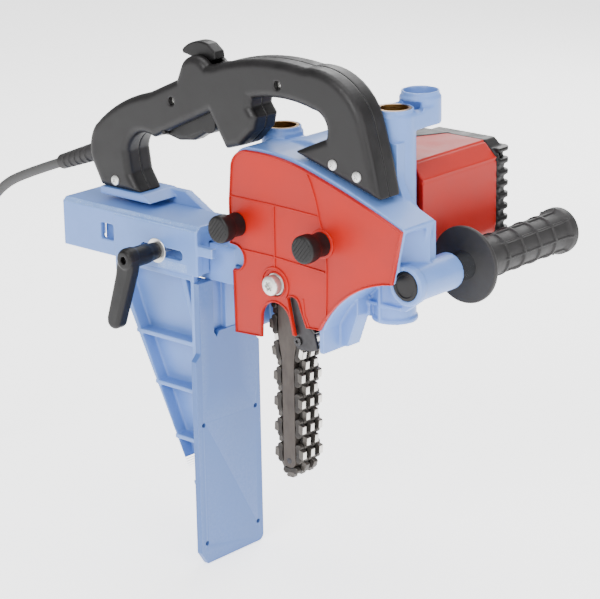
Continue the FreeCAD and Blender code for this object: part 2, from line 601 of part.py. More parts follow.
def gearcase_plate():
    """Plate that closes the gear case and carries the rear bearings."""
    out_x, out_z = output_axis()
    mot_x, mot_z = motor_axis()
    back = s.gearcase_back
    disc = cylinder("plate_disc", (out_x, back, out_z), "y", "Sizes.gearcase_radius", "Sizes.plate_thickness")
    lobe = cylinder("plate_lobe", (mot_x, back, mot_z), "y", "Sizes.stator_radius", "Sizes.plate_thickness")
    holes = [cylinder(f"plate_seat_{i}", (x, back - 5, z), "y", radius, 10)
             for i, (x, z, radius) in enumerate(((out_x, out_z, 15 + s.seat), (mot_x, mot_z, 13 + s.seat)))]
    clear = [cylinder(f"plate_clear_{i}", (x, back - 5, z), "y", radius, 30)
             for i, (x, z, radius) in enumerate(((out_x, out_z, 8), (mot_x, mot_z, 6)))]
    node("gearcase_plate", cut("gearcase_plate", fuse("plate_solid", disc, lobe), *holes, *clear))


def motor_outline(grow=0.0):
    """Section of the motor housing: a rounded square with a sloped upper right corner."""
    x, z = motor_axis()
    half, top = s.motor_half + grow, s.motor_top + grow
    low = -s.motor_low - grow
    return [(x - half, z + low + 12), (x - half, z + top - 12), ((x - half + 3.5, z + top - 3.5), (x - half + 12, z + top)),
            (x + half - 14, z + top), (x + half, z + top - 13), (x + half, z + low + 12),
            ((x + half - 3.5, z + low + 3.5), (x + half - 12, z + low)), (x - half + 12, z + low),
            ((x - half + 3.5, z + low + 3.5), (x - half, z + low + 12))]


def motor_casings():
    out_x, out_z = output_axis()
    mot_x, mot_z = motor_axis()
    back = s.gearcase_back
    end = back + s.plate_thickness
    shell = pad("motor_shell", "XZ", motor_outline(), 66, "Sizes.motor_back - 66")
    bore = cylinder("motor_space", (mot_x, back - 1, mot_z), "y", "Sizes.stator_radius", "Sizes.motor_back - 70")
    round_case = cylinder("motor_case_clear", (out_x, 60, out_z), "y", "Sizes.gearcase_radius + 0.2", end - 60)
    lobe_clear = cylinder("motor_lobe_clear", (mot_x, 60, mot_z), "y", 21.2, back - 60)
    plate_clear = cylinder("motor_plate_clear", (mot_x, back, mot_z), "y", "Sizes.stator_radius + 0.2", end - back)
    column_clear = cylinder("motor_column_clear", (s.column_right, s.column_depth, 100), "z", 22, 250)
    boss_clear = cylinder("motor_boss_clear", (s.side_x, 0, s.side_z), "y", "Sizes.boss_radius + 1", 100)
    node("motor_housing", cut("motor_housing", shell, bore, round_case, lobe_clear, plate_clear,
                              column_clear, boss_clear))

    body = pad("fan_cap_body", "XZ", motor_outline(), "Sizes.motor_back", 16)
    space = cylinder("cap_space", (mot_x, s.motor_back - 1, mot_z), "y", 36, 13)
    seat = tube("cap_bearing_seat", (mot_x, s.motor_back - 4, mot_z), "y", 14, 11 + s.seat, 14)
    slots = []
    fins = []
    for i in range(8):
        z = mot_z - 36 + 10.2 * i
        fins.append(box(f"cap_fin_{i}", (mot_x - 40, s.motor_back + 15, z - 2), (mot_x + 43.5, s.motor_back + 21, z + 2)))
        if i < 7:
            slots.append(box(f"cap_slot_{i}", (mot_x - 30, s.motor_back + 5, z + 2.2), (mot_x + 60, s.motor_back + 20, z + 8)))
    holder = box("cap_bearing_bridge", (mot_x - 38, s.motor_back + 10, mot_z - 6), (mot_x + 38, s.motor_back + 13, mot_z + 6))
    shell = cut("cap_shell", body, space, *slots)
    node("fan_cap", fuse("fan_cap", shell, seat, holder, *fins))


# ---------------------------------------------------------------- bow handle

def handle_outline():
    """Side view of the bow handle with its two feet and the guard between trigger and bow."""
    return [
        (-214, 211.8), (-224.5, 231), ((-227, 250), (-220, 266)), ((-196, 285), (-151, 304)),
        (-116, 320), (-110, 334), ((-97, 343), (-80, 337)), (-72, 338), ((-20, 349.5), (30, 348.5)),
        ((75, 336), (94, 306)), (101.5, 280), (108.5, 250.5), (17.5, 277.5), (52, 293),
        ((50, 309), (38, 315)), ((0, 319.5), (-29, 315.5)), (-30, 308), (-24, 300), (-27.5, 288),
        (-43, 273), (-59.6, 268), (-78, 297), (-146, 265), ((-171, 262), (-179, 248)), (-176, 228),
        (-165.5, 211.8)]


def inner_handle_outline():
    return [
        (-210, 216), (-219, 232), ((-222, 248), (-216, 262)), ((-194, 281), (-150, 299.5)),
        (-112, 316), (-105, 331), (-95, 337), (-84, 331), (-70, 333), ((-20, 345), (28, 344)),
        ((70, 333), (89, 304)), (96, 279), (102, 257), (60, 270), (57, 292), ((54, 312), (40, 319)),
        ((0, 324), (-34, 320)), (-36, 308), (-32, 300), (-34, 291), (-46, 278), (-57, 273),
        (-74, 303), (-146, 271), ((-176, 267), (-184, 250)), (-181, 230), (-172, 216)]


def handle():
    front, back = s.handle_front, s.handle_back
    split = (front + back) / 2
    half = split - front - s.shell_gap / 2
    screws = [(61.5, 273.5), (87, 267.5), (-193.7, 219.6)]
    deep = [(-121, 301), (2, 331)]
    for name, start, hollow in (("front", front, front + s.handle_wall),
                                ("rear", split + s.shell_gap / 2, split + s.shell_gap / 2 - 5)):
        body = pad(f"handle_{name}_blank", "XZ", handle_outline(), start, half)
        space = pad(f"handle_{name}_space", "XZ", inner_handle_outline(), hollow, half - s.handle_wall + 5)
        bosses = [cylinder(f"handle_{name}_boss_{i}", (x, start, z), "y", 5.5, half)
                  for i, (x, z) in enumerate(screws + deep)]
        holes = [cylinder(f"handle_{name}_hole_{i}", (x, front - 1, z), "y", 2.1, back - front + 2)
                 for i, (x, z) in enumerate(screws + deep)]
        if name == "front":
            holes += [cylinder(f"handle_head_hole_{i}", (x, front - 1, z), "y", 3.6, 7)
                      for i, (x, z) in enumerate(deep)]
        cable = fuse(
            f"handle_{name}_cable_hole",
            rod(f"handle_{name}_stem_hole", BOOT_ROOT, (42, 0, 15.5), "Sizes.boot_stem + Sizes.seat", 30),
            rod(f"handle_{name}_boot_seat", BOOT_ROOT, (-42, 0, -15.5), "Sizes.boot_radius + Sizes.seat", 12))
        pins = [cylinder(f"handle_{name}_pin_hole_{i}", (x, -3.5, z), "y", 2.02, 29)
                for i, (x, z) in enumerate((TRIGGER_PIN, LOCK_PIN))]
        trigger_gap = pad(f"handle_{name}_trigger_gap", "XZ", TRIGGER_GAP, 2.5, 18)
        lock_gap = pad(f"handle_{name}_lock_gap", "XZ", [(-110, 318), (-80, 322), (-80, 360), (-110, 360)], 5, 14)
        whole = fuse(f"handle_{name}_solid", cut(f"handle_{name}_hollowed", body, space), *bosses)
        node(f"handle_shell_{name}", cut(
            f"handle_shell_{name}", whole, cable, trigger_gap, lock_gap, *holes, *pins))
    heads = []
    for i, (x, z) in enumerate(screws):
        heads.append(fuse(f"foot_screw_{i}",
                          cylinder(f"foot_screw_head_{i}", (x, front - 1.6, z), "y", 4.6, 1.6),
                          cylinder(f"foot_screw_shank_{i}", (x, front - 1, z), "y", 2, back - front - 2)))
    node("handle_foot_screws", fuse("handle_foot_screws", *heads))
    node("handle_shell_screws", fuse("handle_shell_screws", *[
        fuse(f"shell_screw_{i}",
             cylinder(f"shell_screw_head_{i}", (x, front + 4, z), "y", 3.4, 2),
             cylinder(f"shell_screw_shank_{i}", (x, front + 5, z), "y", 2, back - front - 8))
        for i, (x, z) in enumerate(deep)]))


TRIGGER_PIN = (-133, 271.5)
LOCK_PIN = (-94.5, 331)
BOOT_ROOT = (-226.2, 12, 239.8)
TRIGGER_GAP = [(-142, 262), (-140, 279), (-76, 309), (-70, 292), (-78, 278)]


def trigger_group():
    lever = pad("trigger_blank", "XZ", [(-139, 267.5), (-136, 276), (-82, 301), (-77.5, 291), (-77, 284),
                                  ((-83, 276.5), (-91, 278.5)), (-111, 270.5)], 3, 17)
    node("trigger", cut("trigger", lever, cylinder("trigger_hole", (TRIGGER_PIN[0], 0, TRIGGER_PIN[1]), "y", 2.05, 30)))
    node("trigger_pin", cylinder("trigger_pin", (TRIGGER_PIN[0], -3, TRIGGER_PIN[1]), "y", 2, 28))
    body = box("switch_body", (-86, "Sizes.handle_front + Sizes.handle_wall", 309),
               (-60, "Sizes.handle_back - Sizes.handle_wall", 325))
    screw_hole = cylinder("switch_screw_hole", (-66, s.handle_front, 317), "y", 1.6, 40)
    node("switch_module", cut("switch_module", body, screw_hole))
    lock = pad("lock_blank", "XZ", [(-99, 326), (-99, 339), (-116, 342), (-117, 345), ((-102, 353.5), (-86, 353)),
                                    (-78, 347), (-77, 341), (-88, 337), (-90, 326)], 6, 12)
    node("lock_lever", cut("lock_lever", lock, cylinder("lock_hole", (LOCK_PIN[0], 0, LOCK_PIN[1]), "y", 2.05, 30)))
    node("lock_pin", cylinder("lock_pin", (LOCK_PIN[0], -3, LOCK_PIN[1]), "y", 2, 28))


# ---------------------------------------------------------------- side handle, clamp, cord

def side_handle():
    x, z = s.side_x, s.side_z
    node("side_handle_tube", tube("side_handle_tube", (x, 3, z), "y", "Sizes.tube_radius",
                                  "Sizes.tube_radius - Sizes.tube_wall", "Sizes.grip_end - 8"))
    cap = cylinder("plug_cap", (x, 0, z), "y", "Sizes.tube_radius", 3)
    stem = cylinder("plug_stem", (x, 2, z), "y", s.tube_radius - s.tube_wall, 14)
    node("tube_end_plug", fuse("tube_end_plug", cap, stem))
    start, end = s.grip_start, s.grip_end
    points = [Vector(x, start + y, z + r) for y, r in ((0, s.tube_radius + 0.02), (0, s.flange_radius - 2),
                                                       (2.5, s.flange_radius), (5, s.flange_radius - 1.5), (8, s.grip_radius + 4),
                                                       (13, s.grip_radius))]
    points += [Vector(x, end - y, z + r) for y, r in ((14, s.grip_radius), (9, s.grip_radius + 3), (2, s.grip_radius + 3),
                                                      (0, s.grip_radius), (0, 0.01), (3, 0.01))]
    points += [Vector(x, end - 3, z + s.tube_radius + 0.02)]
    profile = Part.Face(Part.makePolygon(points + points[:1]))
    grip = profile.revolve(Vector(x, 0, z), Vector(0, 1, 0), 360)
    for i in range(4):
        ring = Part.makeTorus(s.grip_radius, 0.9, Vector(x, start + 40 + 22 * i, z), Vector(0, 1, 0))
        grip = grip.fuse(ring)
    inner = Part.makeCylinder(s.tube_radius + 0.02, end - start - 3, Vector(x, start, z), Vector(0, 1, 0))
    node("side_grip", shaped("side_grip", grip.cut(inner)))


def clamp_lever():
    x, z, face = s.clamp_x, s.clamp_z, s.fence_front
    hub = cylinder("clamp_hub", (x, face - 41.3, z), "y", 8.7, 40)
    washer = cylinder("clamp_washer", (x, face - 1.5, z), "y", 11, 1.2)
    stud = cylinder("clamp_stud", (x, face - 5, z), "y", "Sizes.stud_radius", 38)
    arm = pad("clamp_arm", "XZ", [(-8.5 + x, z), (8 + x, z - 2), (x - 12, z - 62), ((x - 18, z - 66), (x - 25, z - 61))],
              face - 40, 13)
    node("clamp_lever", fuse("clamp_lever", hub, washer, stud, arm))


CORD_ROUTE = [
    (-281, 12, 219.6), (-323, 12, 204.1), (-366, 13, 185), (-401, 17, 151), (-417, 21, 102), (-423, 25, 50),
    (-427, 28, 6), (-430, 30.5, -31), (-440, 32.5, -55), (-459, 34, -71.5), (-484, 34, -80.2), (-510, 34, -80.2)]


def corded_path(points):
    """Straight runs joined by tangent arcs whose radius is 0.45 of the shorter run over tan(half turn)."""
    corners = [Vector(*p) for p in points]
    edges, radii = [], []
    here = corners[0]
    for before, corner, after in zip(corners, corners[1:], corners[2:]):
        arrive = (corner - before).normalize()
        leave = (after - corner).normalize()
        reach = 0.45 * min((corner - before).Length, (after - corner).Length)
        half = arrive.getAngle(leave) / 2
        radii.append(reach / math.tan(half))
        first = corner - arrive * reach
        last = corner + leave * reach
        inward = (leave - arrive).normalize()
        middle = corner + inward * (radii[-1] / math.cos(half) - radii[-1])
        edges.append(Part.LineSegment(here, first).toShape())
        edges.append(Part.Arc(first, middle, last).toShape())
        here = last
    edges.append(Part.LineSegment(here, corners[-1]).toShape())
    return Part.Wire(edges), radii


def cord():
    start = Vector(*CORD_ROUTE[0])
    along = (Vector(*CORD_ROUTE[1]) - start).normalize()
    path, radii = corded_path(CORD_ROUTE)
    section = Part.Wire(Part.makeCircle(s.cord_radius, start, along))
    lead = path.makePipeShell([section], True, False)
    wanted = math.pi * s.cord_radius ** 2 * path.Length
    print("cord radii", [round(r) for r in radii], "volume ratio", round(lead.Volume / wanted, 4),
          "length", round(path.Length))
    node("cord", shaped("cord", lead))

    root = Vector(*BOOT_ROOT)
    grommet = Part.makeCone(s.boot_radius, 6.8, (start - root).Length, root, along)
    collar = Part.makeCylinder(s.boot_stem, 10, root - along * 10, along)
    node("cable_boot", shaped("cable_boot", grommet.fuse(collar)))

    x, y = -505, -20
    low, high = s.coil_low, s.coil_high
    ring = Part.makeCylinder(s.coil_outer, high - low, Vector(x, y, low)).cut(
        Part.makeCylinder(s.coil_inner, high - low, Vector(x, y, low)))
    ring = ring.makeFillet(6, [e for e in ring.Edges if e.Curve.TypeId == "Part::GeomCircle"])
    end = CORD_ROUTE[-1]
    lead_in = Part.makeCylinder(s.cord_radius, 16, Vector(*end), Vector(-1, 0, 0))
    lead_in = lead_in.fuse(Part.makeBox(16, 2 * s.cord_radius, 7, Vector(end[0] - 16, end[1] - s.cord_radius, end[2] - 7)))
    tail_y = y - s.coil_outer + s.cord_radius + 2
    tail = Part.makeCylinder(s.cord_radius, 44, Vector(x, tail_y, -105), Vector(1, 0, 0.26))
    node("cord_coil", shaped("cord_coil", ring.fuse([lead_in, tail])))

    frame = Part.Face(Part.makePolygon([Vector(a, 0, b) for a, b in (
        (s.coil_inner - 1.5, low - 1.5), (s.coil_outer + 1.5, low - 1.5), (s.coil_outer + 1.5, high + 1.5),
        (s.coil_inner - 1.5, high + 1.5), (s.coil_inner - 1.5, low - 1.5))]))
    space = Part.Face(Part.makePolygon([Vector(a, 0, b) for a, b in (
        (s.coil_inner - 0.1, low - 0.1), (s.coil_outer + 0.1, low - 0.1), (s.coil_outer + 0.1, high + 0.1),
        (s.coil_inner - 0.1, high + 0.1), (s.coil_inner - 0.1, low - 0.1))]))
    strap = frame.cut(space).revolve(Vector(0, 0, 0), Vector(0, 0, 1), 14)
    strap.rotate(Vector(0, 0, 0), Vector(0, 0, 1), 172)
    strap.translate(Vector(x, y, 0))
    node("cord_tie", shaped("cord_tie", strap))

    plug_x, plug_z = x + 40, -94.5
    body = Part.makeCylinder(18.4, 22, Vector(plug_x + 26, tail_y, plug_z), Vector(1, 0, 0))
    neck = Part.makeCone(6.5, 14, 27, Vector(plug_x, tail_y, plug_z), Vector(1, 0, 0))
    pins = [Part.makeCylinder(2.4, 19, Vector(plug_x + 47, tail_y + side * 9.5, plug_z), Vector(1, 0, 0))
            for side in (-1, 1)]
    node("plug", shaped("plug", neck.fuse([body] + pins)))


def main():
    main_casting()
    guide_bushes()
    support_arm()
    fence()
    chain_cover()
    cover_knobs()
    chain_set()
    drive()
    bearings()
    gearcase_plate()
    motor_casings()
    handle()
    trigger_group()
    side_handle()
    clamp_lever()
    cord()


def write():
    doc.recompute()
    for thing in doc.Objects:
        if "Invalid" in thing.State or "Error" in thing.State:
            raise RuntimeError(f"{thing.Name} failed: {thing.State}")
    os.makedirs("parts", exist_ok=True)
    for thing in nodes:
        if thing.Shape.isNull() or not thing.Shape.isValid():
            raise RuntimeError(f"{thing.Label} has no valid shape")
        thing.Shape.exportStep(f"parts/{thing.Label}.step")
        print(thing.Label, len(thing.Shape.Solids), round(thing.Shape.Volume / 1000, 2))


main()
write()
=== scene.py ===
"""Looks of a hand-held chain mortiser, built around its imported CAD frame."""

import logging
import math
from dataclasses import dataclass
from enum import Enum
from typing import Callable, Iterable, Optional, Sequence

import bmesh
import bpy
from mathutils import Matrix, Vector

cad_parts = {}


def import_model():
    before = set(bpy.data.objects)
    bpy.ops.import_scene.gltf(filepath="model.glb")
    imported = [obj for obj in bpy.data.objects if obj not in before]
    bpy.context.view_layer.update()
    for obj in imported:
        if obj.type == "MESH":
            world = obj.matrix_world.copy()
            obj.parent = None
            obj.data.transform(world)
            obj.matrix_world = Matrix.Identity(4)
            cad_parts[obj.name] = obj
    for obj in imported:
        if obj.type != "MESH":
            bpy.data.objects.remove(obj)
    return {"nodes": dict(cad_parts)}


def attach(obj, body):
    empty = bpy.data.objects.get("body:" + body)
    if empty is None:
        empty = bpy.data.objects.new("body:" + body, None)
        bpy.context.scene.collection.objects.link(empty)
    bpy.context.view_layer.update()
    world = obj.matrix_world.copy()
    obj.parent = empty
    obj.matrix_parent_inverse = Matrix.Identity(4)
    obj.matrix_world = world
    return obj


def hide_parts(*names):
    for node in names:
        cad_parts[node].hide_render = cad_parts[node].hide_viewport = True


log = logging.getLogger("mortiser")

MM = 0.001
# The drawing datum (bar bolt, bar face, nose roller) seen from the frame's origin, in millimetres.
DATUM = Vector((84.0, 46.0, 135.0))
TO_FRAME = Matrix.Scale(MM, 4) @ Matrix.Translation(-DATUM)

# Directions of the drawing datum.
ALONG_X = Vector((1.0, 0.0, 0.0))
ALONG_Y = Vector((0.0, 1.0, 0.0))
ALONG_Z = Vector((0.0, 0.0, 1.0))
# Two points closer than this, in millimetres, are the same.
TOUCHING = 1e-6
# Corners of a CAD mesh this near to each other, in millimetres, are joined.
WELD = 0.001
# Bodies of the frame, slots and nodes that several pieces name.
MACHINE = "machine"
CASTING_SLOT = "powder_coated_casting"
PLASTIC_SLOT = "black_plastic"
ZINC_SLOT = "zinc_plated_steel"

Point2 = tuple[float, float]
Point3 = tuple[float, float, float]


def at(x: float, y: float, z: float) -> Vector:
    """A point of the drawing datum, in millimetres, as a place in the frame, in metres.

    Args:
        x: To the right.
        y: To the rear.
        z: Up.

    Returns:
        The place.
    """
    return TO_FRAME @ Vector((x, y, z))


def srgb(code: str) -> tuple[float, float, float, float]:
    """An sRGB hex colour turned linear.

    Args:
        code: The colour, such as "#96AAD0".

    Returns:
        Linear red, green, blue and alpha.
    """
    channels = (int(code[i:i + 2], 16) / 255 for i in (1, 3, 5))
    linear = [c / 12.92 if c <= 0.04045 else ((c + 0.055) / 1.055) ** 2.4 for c in channels]
    return linear[0], linear[1], linear[2], 1.0


# ---------------------------------------------------------------- finishes

def voxel(size: float) -> float:
    return size * 1.0


def add_node(tree: bpy.types.NodeTree, kind: str, inputs: Optional[dict] = None,
             **settings: object) -> bpy.types.Node:
    """Adds a node, sets its properties, and fills or links its inputs.

    Args:
        tree: The node tree.
        kind: The node's type name.
        inputs: Socket name or index to a value or to an output socket.
        settings: Properties of the node.

    Returns:
        The new node.
    """
    made = tree.nodes.new(kind)
    for name, value in settings.items():
        setattr(made, name, value)
    for key, value in (inputs or {}).items():
        if isinstance(value, bpy.types.NodeSocket):
            tree.links.new(value, made.inputs[key])
        else:
            made.inputs[key].default_value = value
    return made


def ramp(tree: bpy.types.NodeTree, factor: bpy.types.NodeSocket,
         stops: Sequence[tuple]) -> bpy.types.NodeSocket:
    """A colour ramp.

    Args:
        tree: The node tree.
        factor: What the ramp reads.
        stops: (place, colour) pairs.

    Returns:
        Its colour output.
    """
    made = add_node(tree, "ShaderNodeValToRGB", {"Fac": factor})
    elements = made.color_ramp.elements
    while len(elements) < len(stops):
        elements.new(0.5)
    for element, (place, colour) in zip(elements, stops):
        element.position = place
        element.color = colour
    return made.outputs["Color"]


@dataclass(frozen=True)
class Finish:
    """A surface finish, drawn from noise in the frame's own coordinates.

    Sizes are real millimetres; streak stretches the pattern along one axis, as rolling or grinding does.
    """

    name: str
    light: str
    dark: str
    metallic: float = 0.0
    roughness: float = 0.45
    roughness_swing: float = 0.08
    patch_mm: float = 25.0
    grain_mm: float = 0.8
    grain_depth_mm: float = 0.02
    streak: Point3 = (1.0, 1.0, 1.0)
    wear: Optional[str] = None
    wear_from: float = 0.56
    wear_fade: float = 0.06
    speckle: Optional[str] = None
    speckle_mm: float = 1.1
    speckle_edge: Point2 = (0.22, 0.12)
    patch_range: Point2 = (0.3, 0.7)
    ior: float = 1.5
    coat: float = 0.0
    specular: float = 0.5

    def material(self) -> bpy.types.Material:
        """The finish's material, made once.

        Returns:
            The material.
        """
        known = bpy.data.materials.get(self.name)
        if known:
            return known
        made = bpy.data.materials.new(self.name)
        made.use_nodes = True
        tree = made.node_tree
        tree.nodes.clear()
        place = add_node(tree, "ShaderNodeTexCoord").outputs["Object"]
        stretched = add_node(tree, "ShaderNodeMapping", {
            "Vector": place, "Scale": self.streak}).outputs["Vector"]
        patches = add_node(tree, "ShaderNodeTexNoise", {
            "Vector": stretched, "Scale": 1 / (self.patch_mm * MM), "Detail": 4.0,
            "Roughness": 0.6}).outputs["Fac"]
        grain = add_node(tree, "ShaderNodeTexNoise", {
            "Vector": stretched, "Scale": 1 / (self.grain_mm * MM), "Detail": 3.0}).outputs["Fac"]
        low, high = self.patch_range
        colour = ramp(tree, patches, [(low, srgb(self.dark)), (high, srgb(self.light))])
        if self.wear:
            bare = add_node(tree, "ShaderNodeNewGeometry").outputs["Pointiness"]
            edge = add_node(tree, "ShaderNodeMapRange", {
                "Value": bare, "From Min": self.wear_from,
                "From Max": self.wear_from + self.wear_fade}).outputs["Result"]
            broken = add_node(tree, "ShaderNodeMath", {0: edge, 1: grain}, operation="MULTIPLY").outputs[0]
            colour = self.mixed(tree, broken, colour, self.wear)
        if self.speckle:
            dots = add_node(tree, "ShaderNodeTexVoronoi", {
                "Vector": place, "Scale": 1 / (self.speckle_mm * MM)}).outputs["Distance"]
            rim, core = self.speckle_edge
            sharp = add_node(tree, "ShaderNodeMapRange", {
                "Value": dots, "From Min": rim, "From Max": core}).outputs["Result"]
            colour = self.mixed(tree, sharp, colour, self.speckle)
        swing = self.roughness_swing
        rough = add_node(tree, "ShaderNodeMapRange", {
            "Value": patches, "From Min": low, "From Max": high,
            "To Min": self.roughness - swing, "To Max": self.roughness + swing}).outputs["Result"]
        bump = add_node(tree, "ShaderNodeBump", {
            "Height": grain, "Strength": 1.0, "Distance": self.grain_depth_mm * MM}).outputs["Normal"]
        shader = add_node(tree, "ShaderNodeBsdfPrincipled", {
            "Base Color": colour, "Roughness": rough, "Normal": bump, "Metallic": self.metallic,
            "Coat Weight": self.coat, "Specular IOR Level": self.specular})
        if not self.metallic:
            shader.inputs["IOR"].default_value = self.ior
        add_node(tree, "ShaderNodeOutputMaterial", {"Surface": shader.outputs[0]})
        return made

    @staticmethod
    def mixed(tree: bpy.types.NodeTree, factor: bpy.types.NodeSocket, below: bpy.types.NodeSocket,
              above: str) -> bpy.types.NodeSocket:
        """One colour laid over another.

        Args:
            tree: The node tree.
            factor: How much of the upper colour shows.
            below: The lower colour.
            above: The upper colour, as hex.

        Returns:
            The mixed colour.
        """
        mix = add_node(tree, "ShaderNodeMix", data_type="RGBA")
        tree.links.new(factor, mix.inputs["Factor"])
        tree.links.new(below, mix.inputs[6])
        mix.inputs[7].default_value = srgb(above)
        return mix.outputs[2]


# Powder-coated die casting: even colour, faint orange peel, pale where edges rub.
BLUE_COAT = Finish("blue_powder_coat", "#6587C6", "#5A7DBC", roughness=0.44, patch_mm=40, grain_mm=1.6,
                   grain_depth_mm=0.035, wear="#A9BEE4", wear_from=0.53, coat=0.08)
# The same coat over a milled face, a shade lighter, with near-white specks: bare metal shows through, and the
# specks and the lighter tone are also painted glints and a painted highlight.
BLUE_SPECKLED = Finish("blue_coat_rubbed_painted_highlight", "#7D9CD2", "#688AC4", roughness=0.36, patch_mm=12, grain_mm=0.9,
                       grain_depth_mm=0.06, speckle="#E4EAF4", coat=0.1)
# Coated sheet for the fence: flatter than the castings.
PLATE_COAT = Finish("blue_coated_plate", "#4466A2", "#3D5F9A", roughness=0.45, patch_mm=60, grain_mm=2.2,
                    grain_depth_mm=0.02, wear="#93A9D4", wear_from=0.55, coat=0.05)
# Injection-moulded ABS: saturated, satin, with a fine spark-eroded grain.
RED_ABS = Finish("red_abs", "#A81103", "#990E01", roughness=0.46, patch_mm=50, grain_mm=0.9,
                 grain_depth_mm=0.018, specular=0.3)
# Glass-filled nylon: charcoal, satin, a little mottled.
BLACK_NYLON = Finish("black_nylon", "#141213", "#0D0C0D", roughness=0.44, patch_mm=18, grain_mm=0.7,
                     grain_depth_mm=0.03, specular=0.35)
# Plainer moulded plastic of knobs, lever and plug: a shade darker and smoother than the nylon.
BLACK_MOULDED = Finish("black_moulded_plastic", "#0F0E0F", "#090809", roughness=0.44, patch_mm=15,
                       grain_mm=0.6, grain_depth_mm=0.02, specular=0.3)
# Vulcanised rubber: no mirror in it, slightly grey.
GRIP_RUBBER = Finish("grip_rubber", "#1E1C1D", "#151414", roughness=0.62, patch_mm=10, grain_mm=0.5,
                     grain_depth_mm=0.03)
# Extruded rubber sheath: duller than the plastic, smoother than the grip.
CORD_RUBBER = Finish("cord_rubber", "#1D1C1D", "#141314", roughness=0.55, patch_mm=14, grain_mm=0.8,
                     grain_depth_mm=0.02)
# Blued chain steel with oil and chips in its corners.
CHAIN_STEEL = Finish("oiled_chain_steel", "#34302D", "#181615", metallic=0.6, roughness=0.42,
                     roughness_swing=0.14, patch_mm=5, grain_mm=0.5, grain_depth_mm=0.05, wear="#7A7570")
# Freshly ground cutting faces.
GROUND_STEEL = Finish("ground_cutting_face", "#E4E1DC", "#BDB9B3", metallic=0.9, roughness=0.30, patch_mm=4,
                      grain_mm=0.4, grain_depth_mm=0.01, streak=(1, 6, 1))
# Rolled and hardened bar: warm grey with long faint rolling marks.
BAR_STEEL = Finish("rolled_bar_steel", "#4B4541", "#37312E", metallic=0.6, roughness=0.46, patch_mm=6,
                   grain_mm=0.6, grain_depth_mm=0.03, streak=(1, 1, 0.35), wear="#8A827B")
# Blackened steel: dark oxide that goes grey where it is handled.
DARK_STEEL = Finish("blackened_steel", "#403F41", "#2A292B", metallic=0.7, roughness=0.40, patch_mm=9,
                    grain_mm=0.7, grain_depth_mm=0.03, wear="#8F8D8C")
# Bright zinc plate on screws: near white, small smudges.
ZINC = Finish("zinc_plated_steel", "#A9ABAE", "#74767A", metallic=1.0, roughness=0.20, patch_mm=3,
              grain_mm=0.5, grain_depth_mm=0.01)
# Turned and polished chrome.
CHROME = Finish("chromed_tube", "#B9BCC2", "#9A9DA3", metallic=1.0, roughness=0.14, roughness_swing=0.05,
                patch_mm=8, grain_mm=0.4, grain_depth_mm=0.004, streak=(1, 0.2, 1))
# Bored bronze with turning lines round the hole.
BRONZE = Finish("bored_bronze", "#B8925A", "#8A683A", metallic=1.0, roughness=0.34, patch_mm=6, grain_mm=0.3,
                grain_depth_mm=0.02, streak=(1, 1, 8))
# Stacked sheets: thin dark lines across the core.
CORE_STEEL = Finish("laminated_core", "#7C7A78", "#5C5A58", metallic=0.9, roughness=0.45, patch_mm=8,
                    grain_mm=0.5, grain_depth_mm=0.05, streak=(0.3, 8, 0.3))
# Turned commutator bars: reddish, bright.
COPPER = Finish("turned_copper", "#C77F52", "#A3623B", metallic=1.0, roughness=0.33, patch_mm=5, grain_mm=0.4,
                grain_depth_mm=0.02)
# Pressed carbon: matt and grainy.
CARBON = Finish("pressed_carbon", "#3A3A3C", "#252527", roughness=0.6, patch_mm=5, grain_mm=0.4,
                grain_depth_mm=0.04)
# Hobbed and hardened gear steel: a warm grey shine.
GEAR_STEEL = Finish("hobbed_gear_steel", "#B5B1AA", "#8C8882", metallic=1.0, roughness=0.35, patch_mm=6,
                    grain_mm=0.5, grain_depth_mm=0.02)
# Grey phenolic housing of the switch: half matt.
CABINET_SWITCH = Finish("switch_housing", "#4A4C50", "#3A3B3F", roughness=0.5, patch_mm=8, grain_mm=0.5,
                        grain_depth_mm=0.02)


# ---------------------------------------------------------------- mesh tools

class Plane(Enum):
    """The plane an outline is drawn on; the prism stands along the third axis."""

    XZ = "xz"
    YZ = "yz"
    XY = "xy"

    def point(self, u: float, v: float, along: float) -> Vector:
        """A 3-D point of an outline.

        Args:
            u: The outline's first measure.
            v: Its second measure.
            along: The place along the third axis.

        Returns:
            The point.
        """
        if self is Plane.XZ:
            return Vector((u, along, v))
        if self is Plane.YZ:
            return Vector((along, u, v))
        return Vector((u, v, along))


def arc(first: Point2, through: Point2, last: Point2, steps: int = 10) -> list[Point2]:
    """Points on the circle through three points.

    Args:
        first: Where the arc starts; it isn't among the points.
        through: A point on the way.
        last: Where it ends.
        steps: How many points.

    Returns:
        The points.
    """
    (ax, ay), (bx, by), (cx, cy) = first, through, last
    d = 2 * (ax * (by - cy) + bx * (cy - ay) + cx * (ay - by))
    a2, b2, c2 = ax * ax + ay * ay, bx * bx + by * by, cx * cx + cy * cy
    mx = (a2 * (by - cy) + b2 * (cy - ay) + c2 * (ay - by)) / d
    my = (a2 * (cx - bx) + b2 * (ax - cx) + c2 * (bx - ax)) / d
    radius = math.hypot(ax - mx, ay - my)
    start, mid, end = (math.atan2(y - my, x - mx) for x, y in (first, through, last))
    turn = (end - start) % (2 * math.pi)
    if (mid - start) % (2 * math.pi) > turn:
        turn -= 2 * math.pi
    angles = [start + turn * i / steps for i in range(1, steps + 1)]
    return [(mx + radius * math.cos(angle), my + radius * math.sin(angle)) for angle in angles]


def outline(steps: Iterable) -> list[Point2]:
    """An outline's points.

    Args:
        steps: Points in order; a pair (through, end) draws an arc from the last point.

    Returns:
        The points.
    """
    steps = list(steps)
    last = steps[-1]
    here = last[1] if isinstance(last[0], tuple) else last
    points: list[Point2] = []
    for step in steps:
        if isinstance(step[0], tuple):
            points += arc(here, step[0], step[1])
            here = step[1]
        else:
            points.append(step)
            here = step
    if math.dist(points[0], points[-1]) < TOUCHING:
        points.pop()
    return points


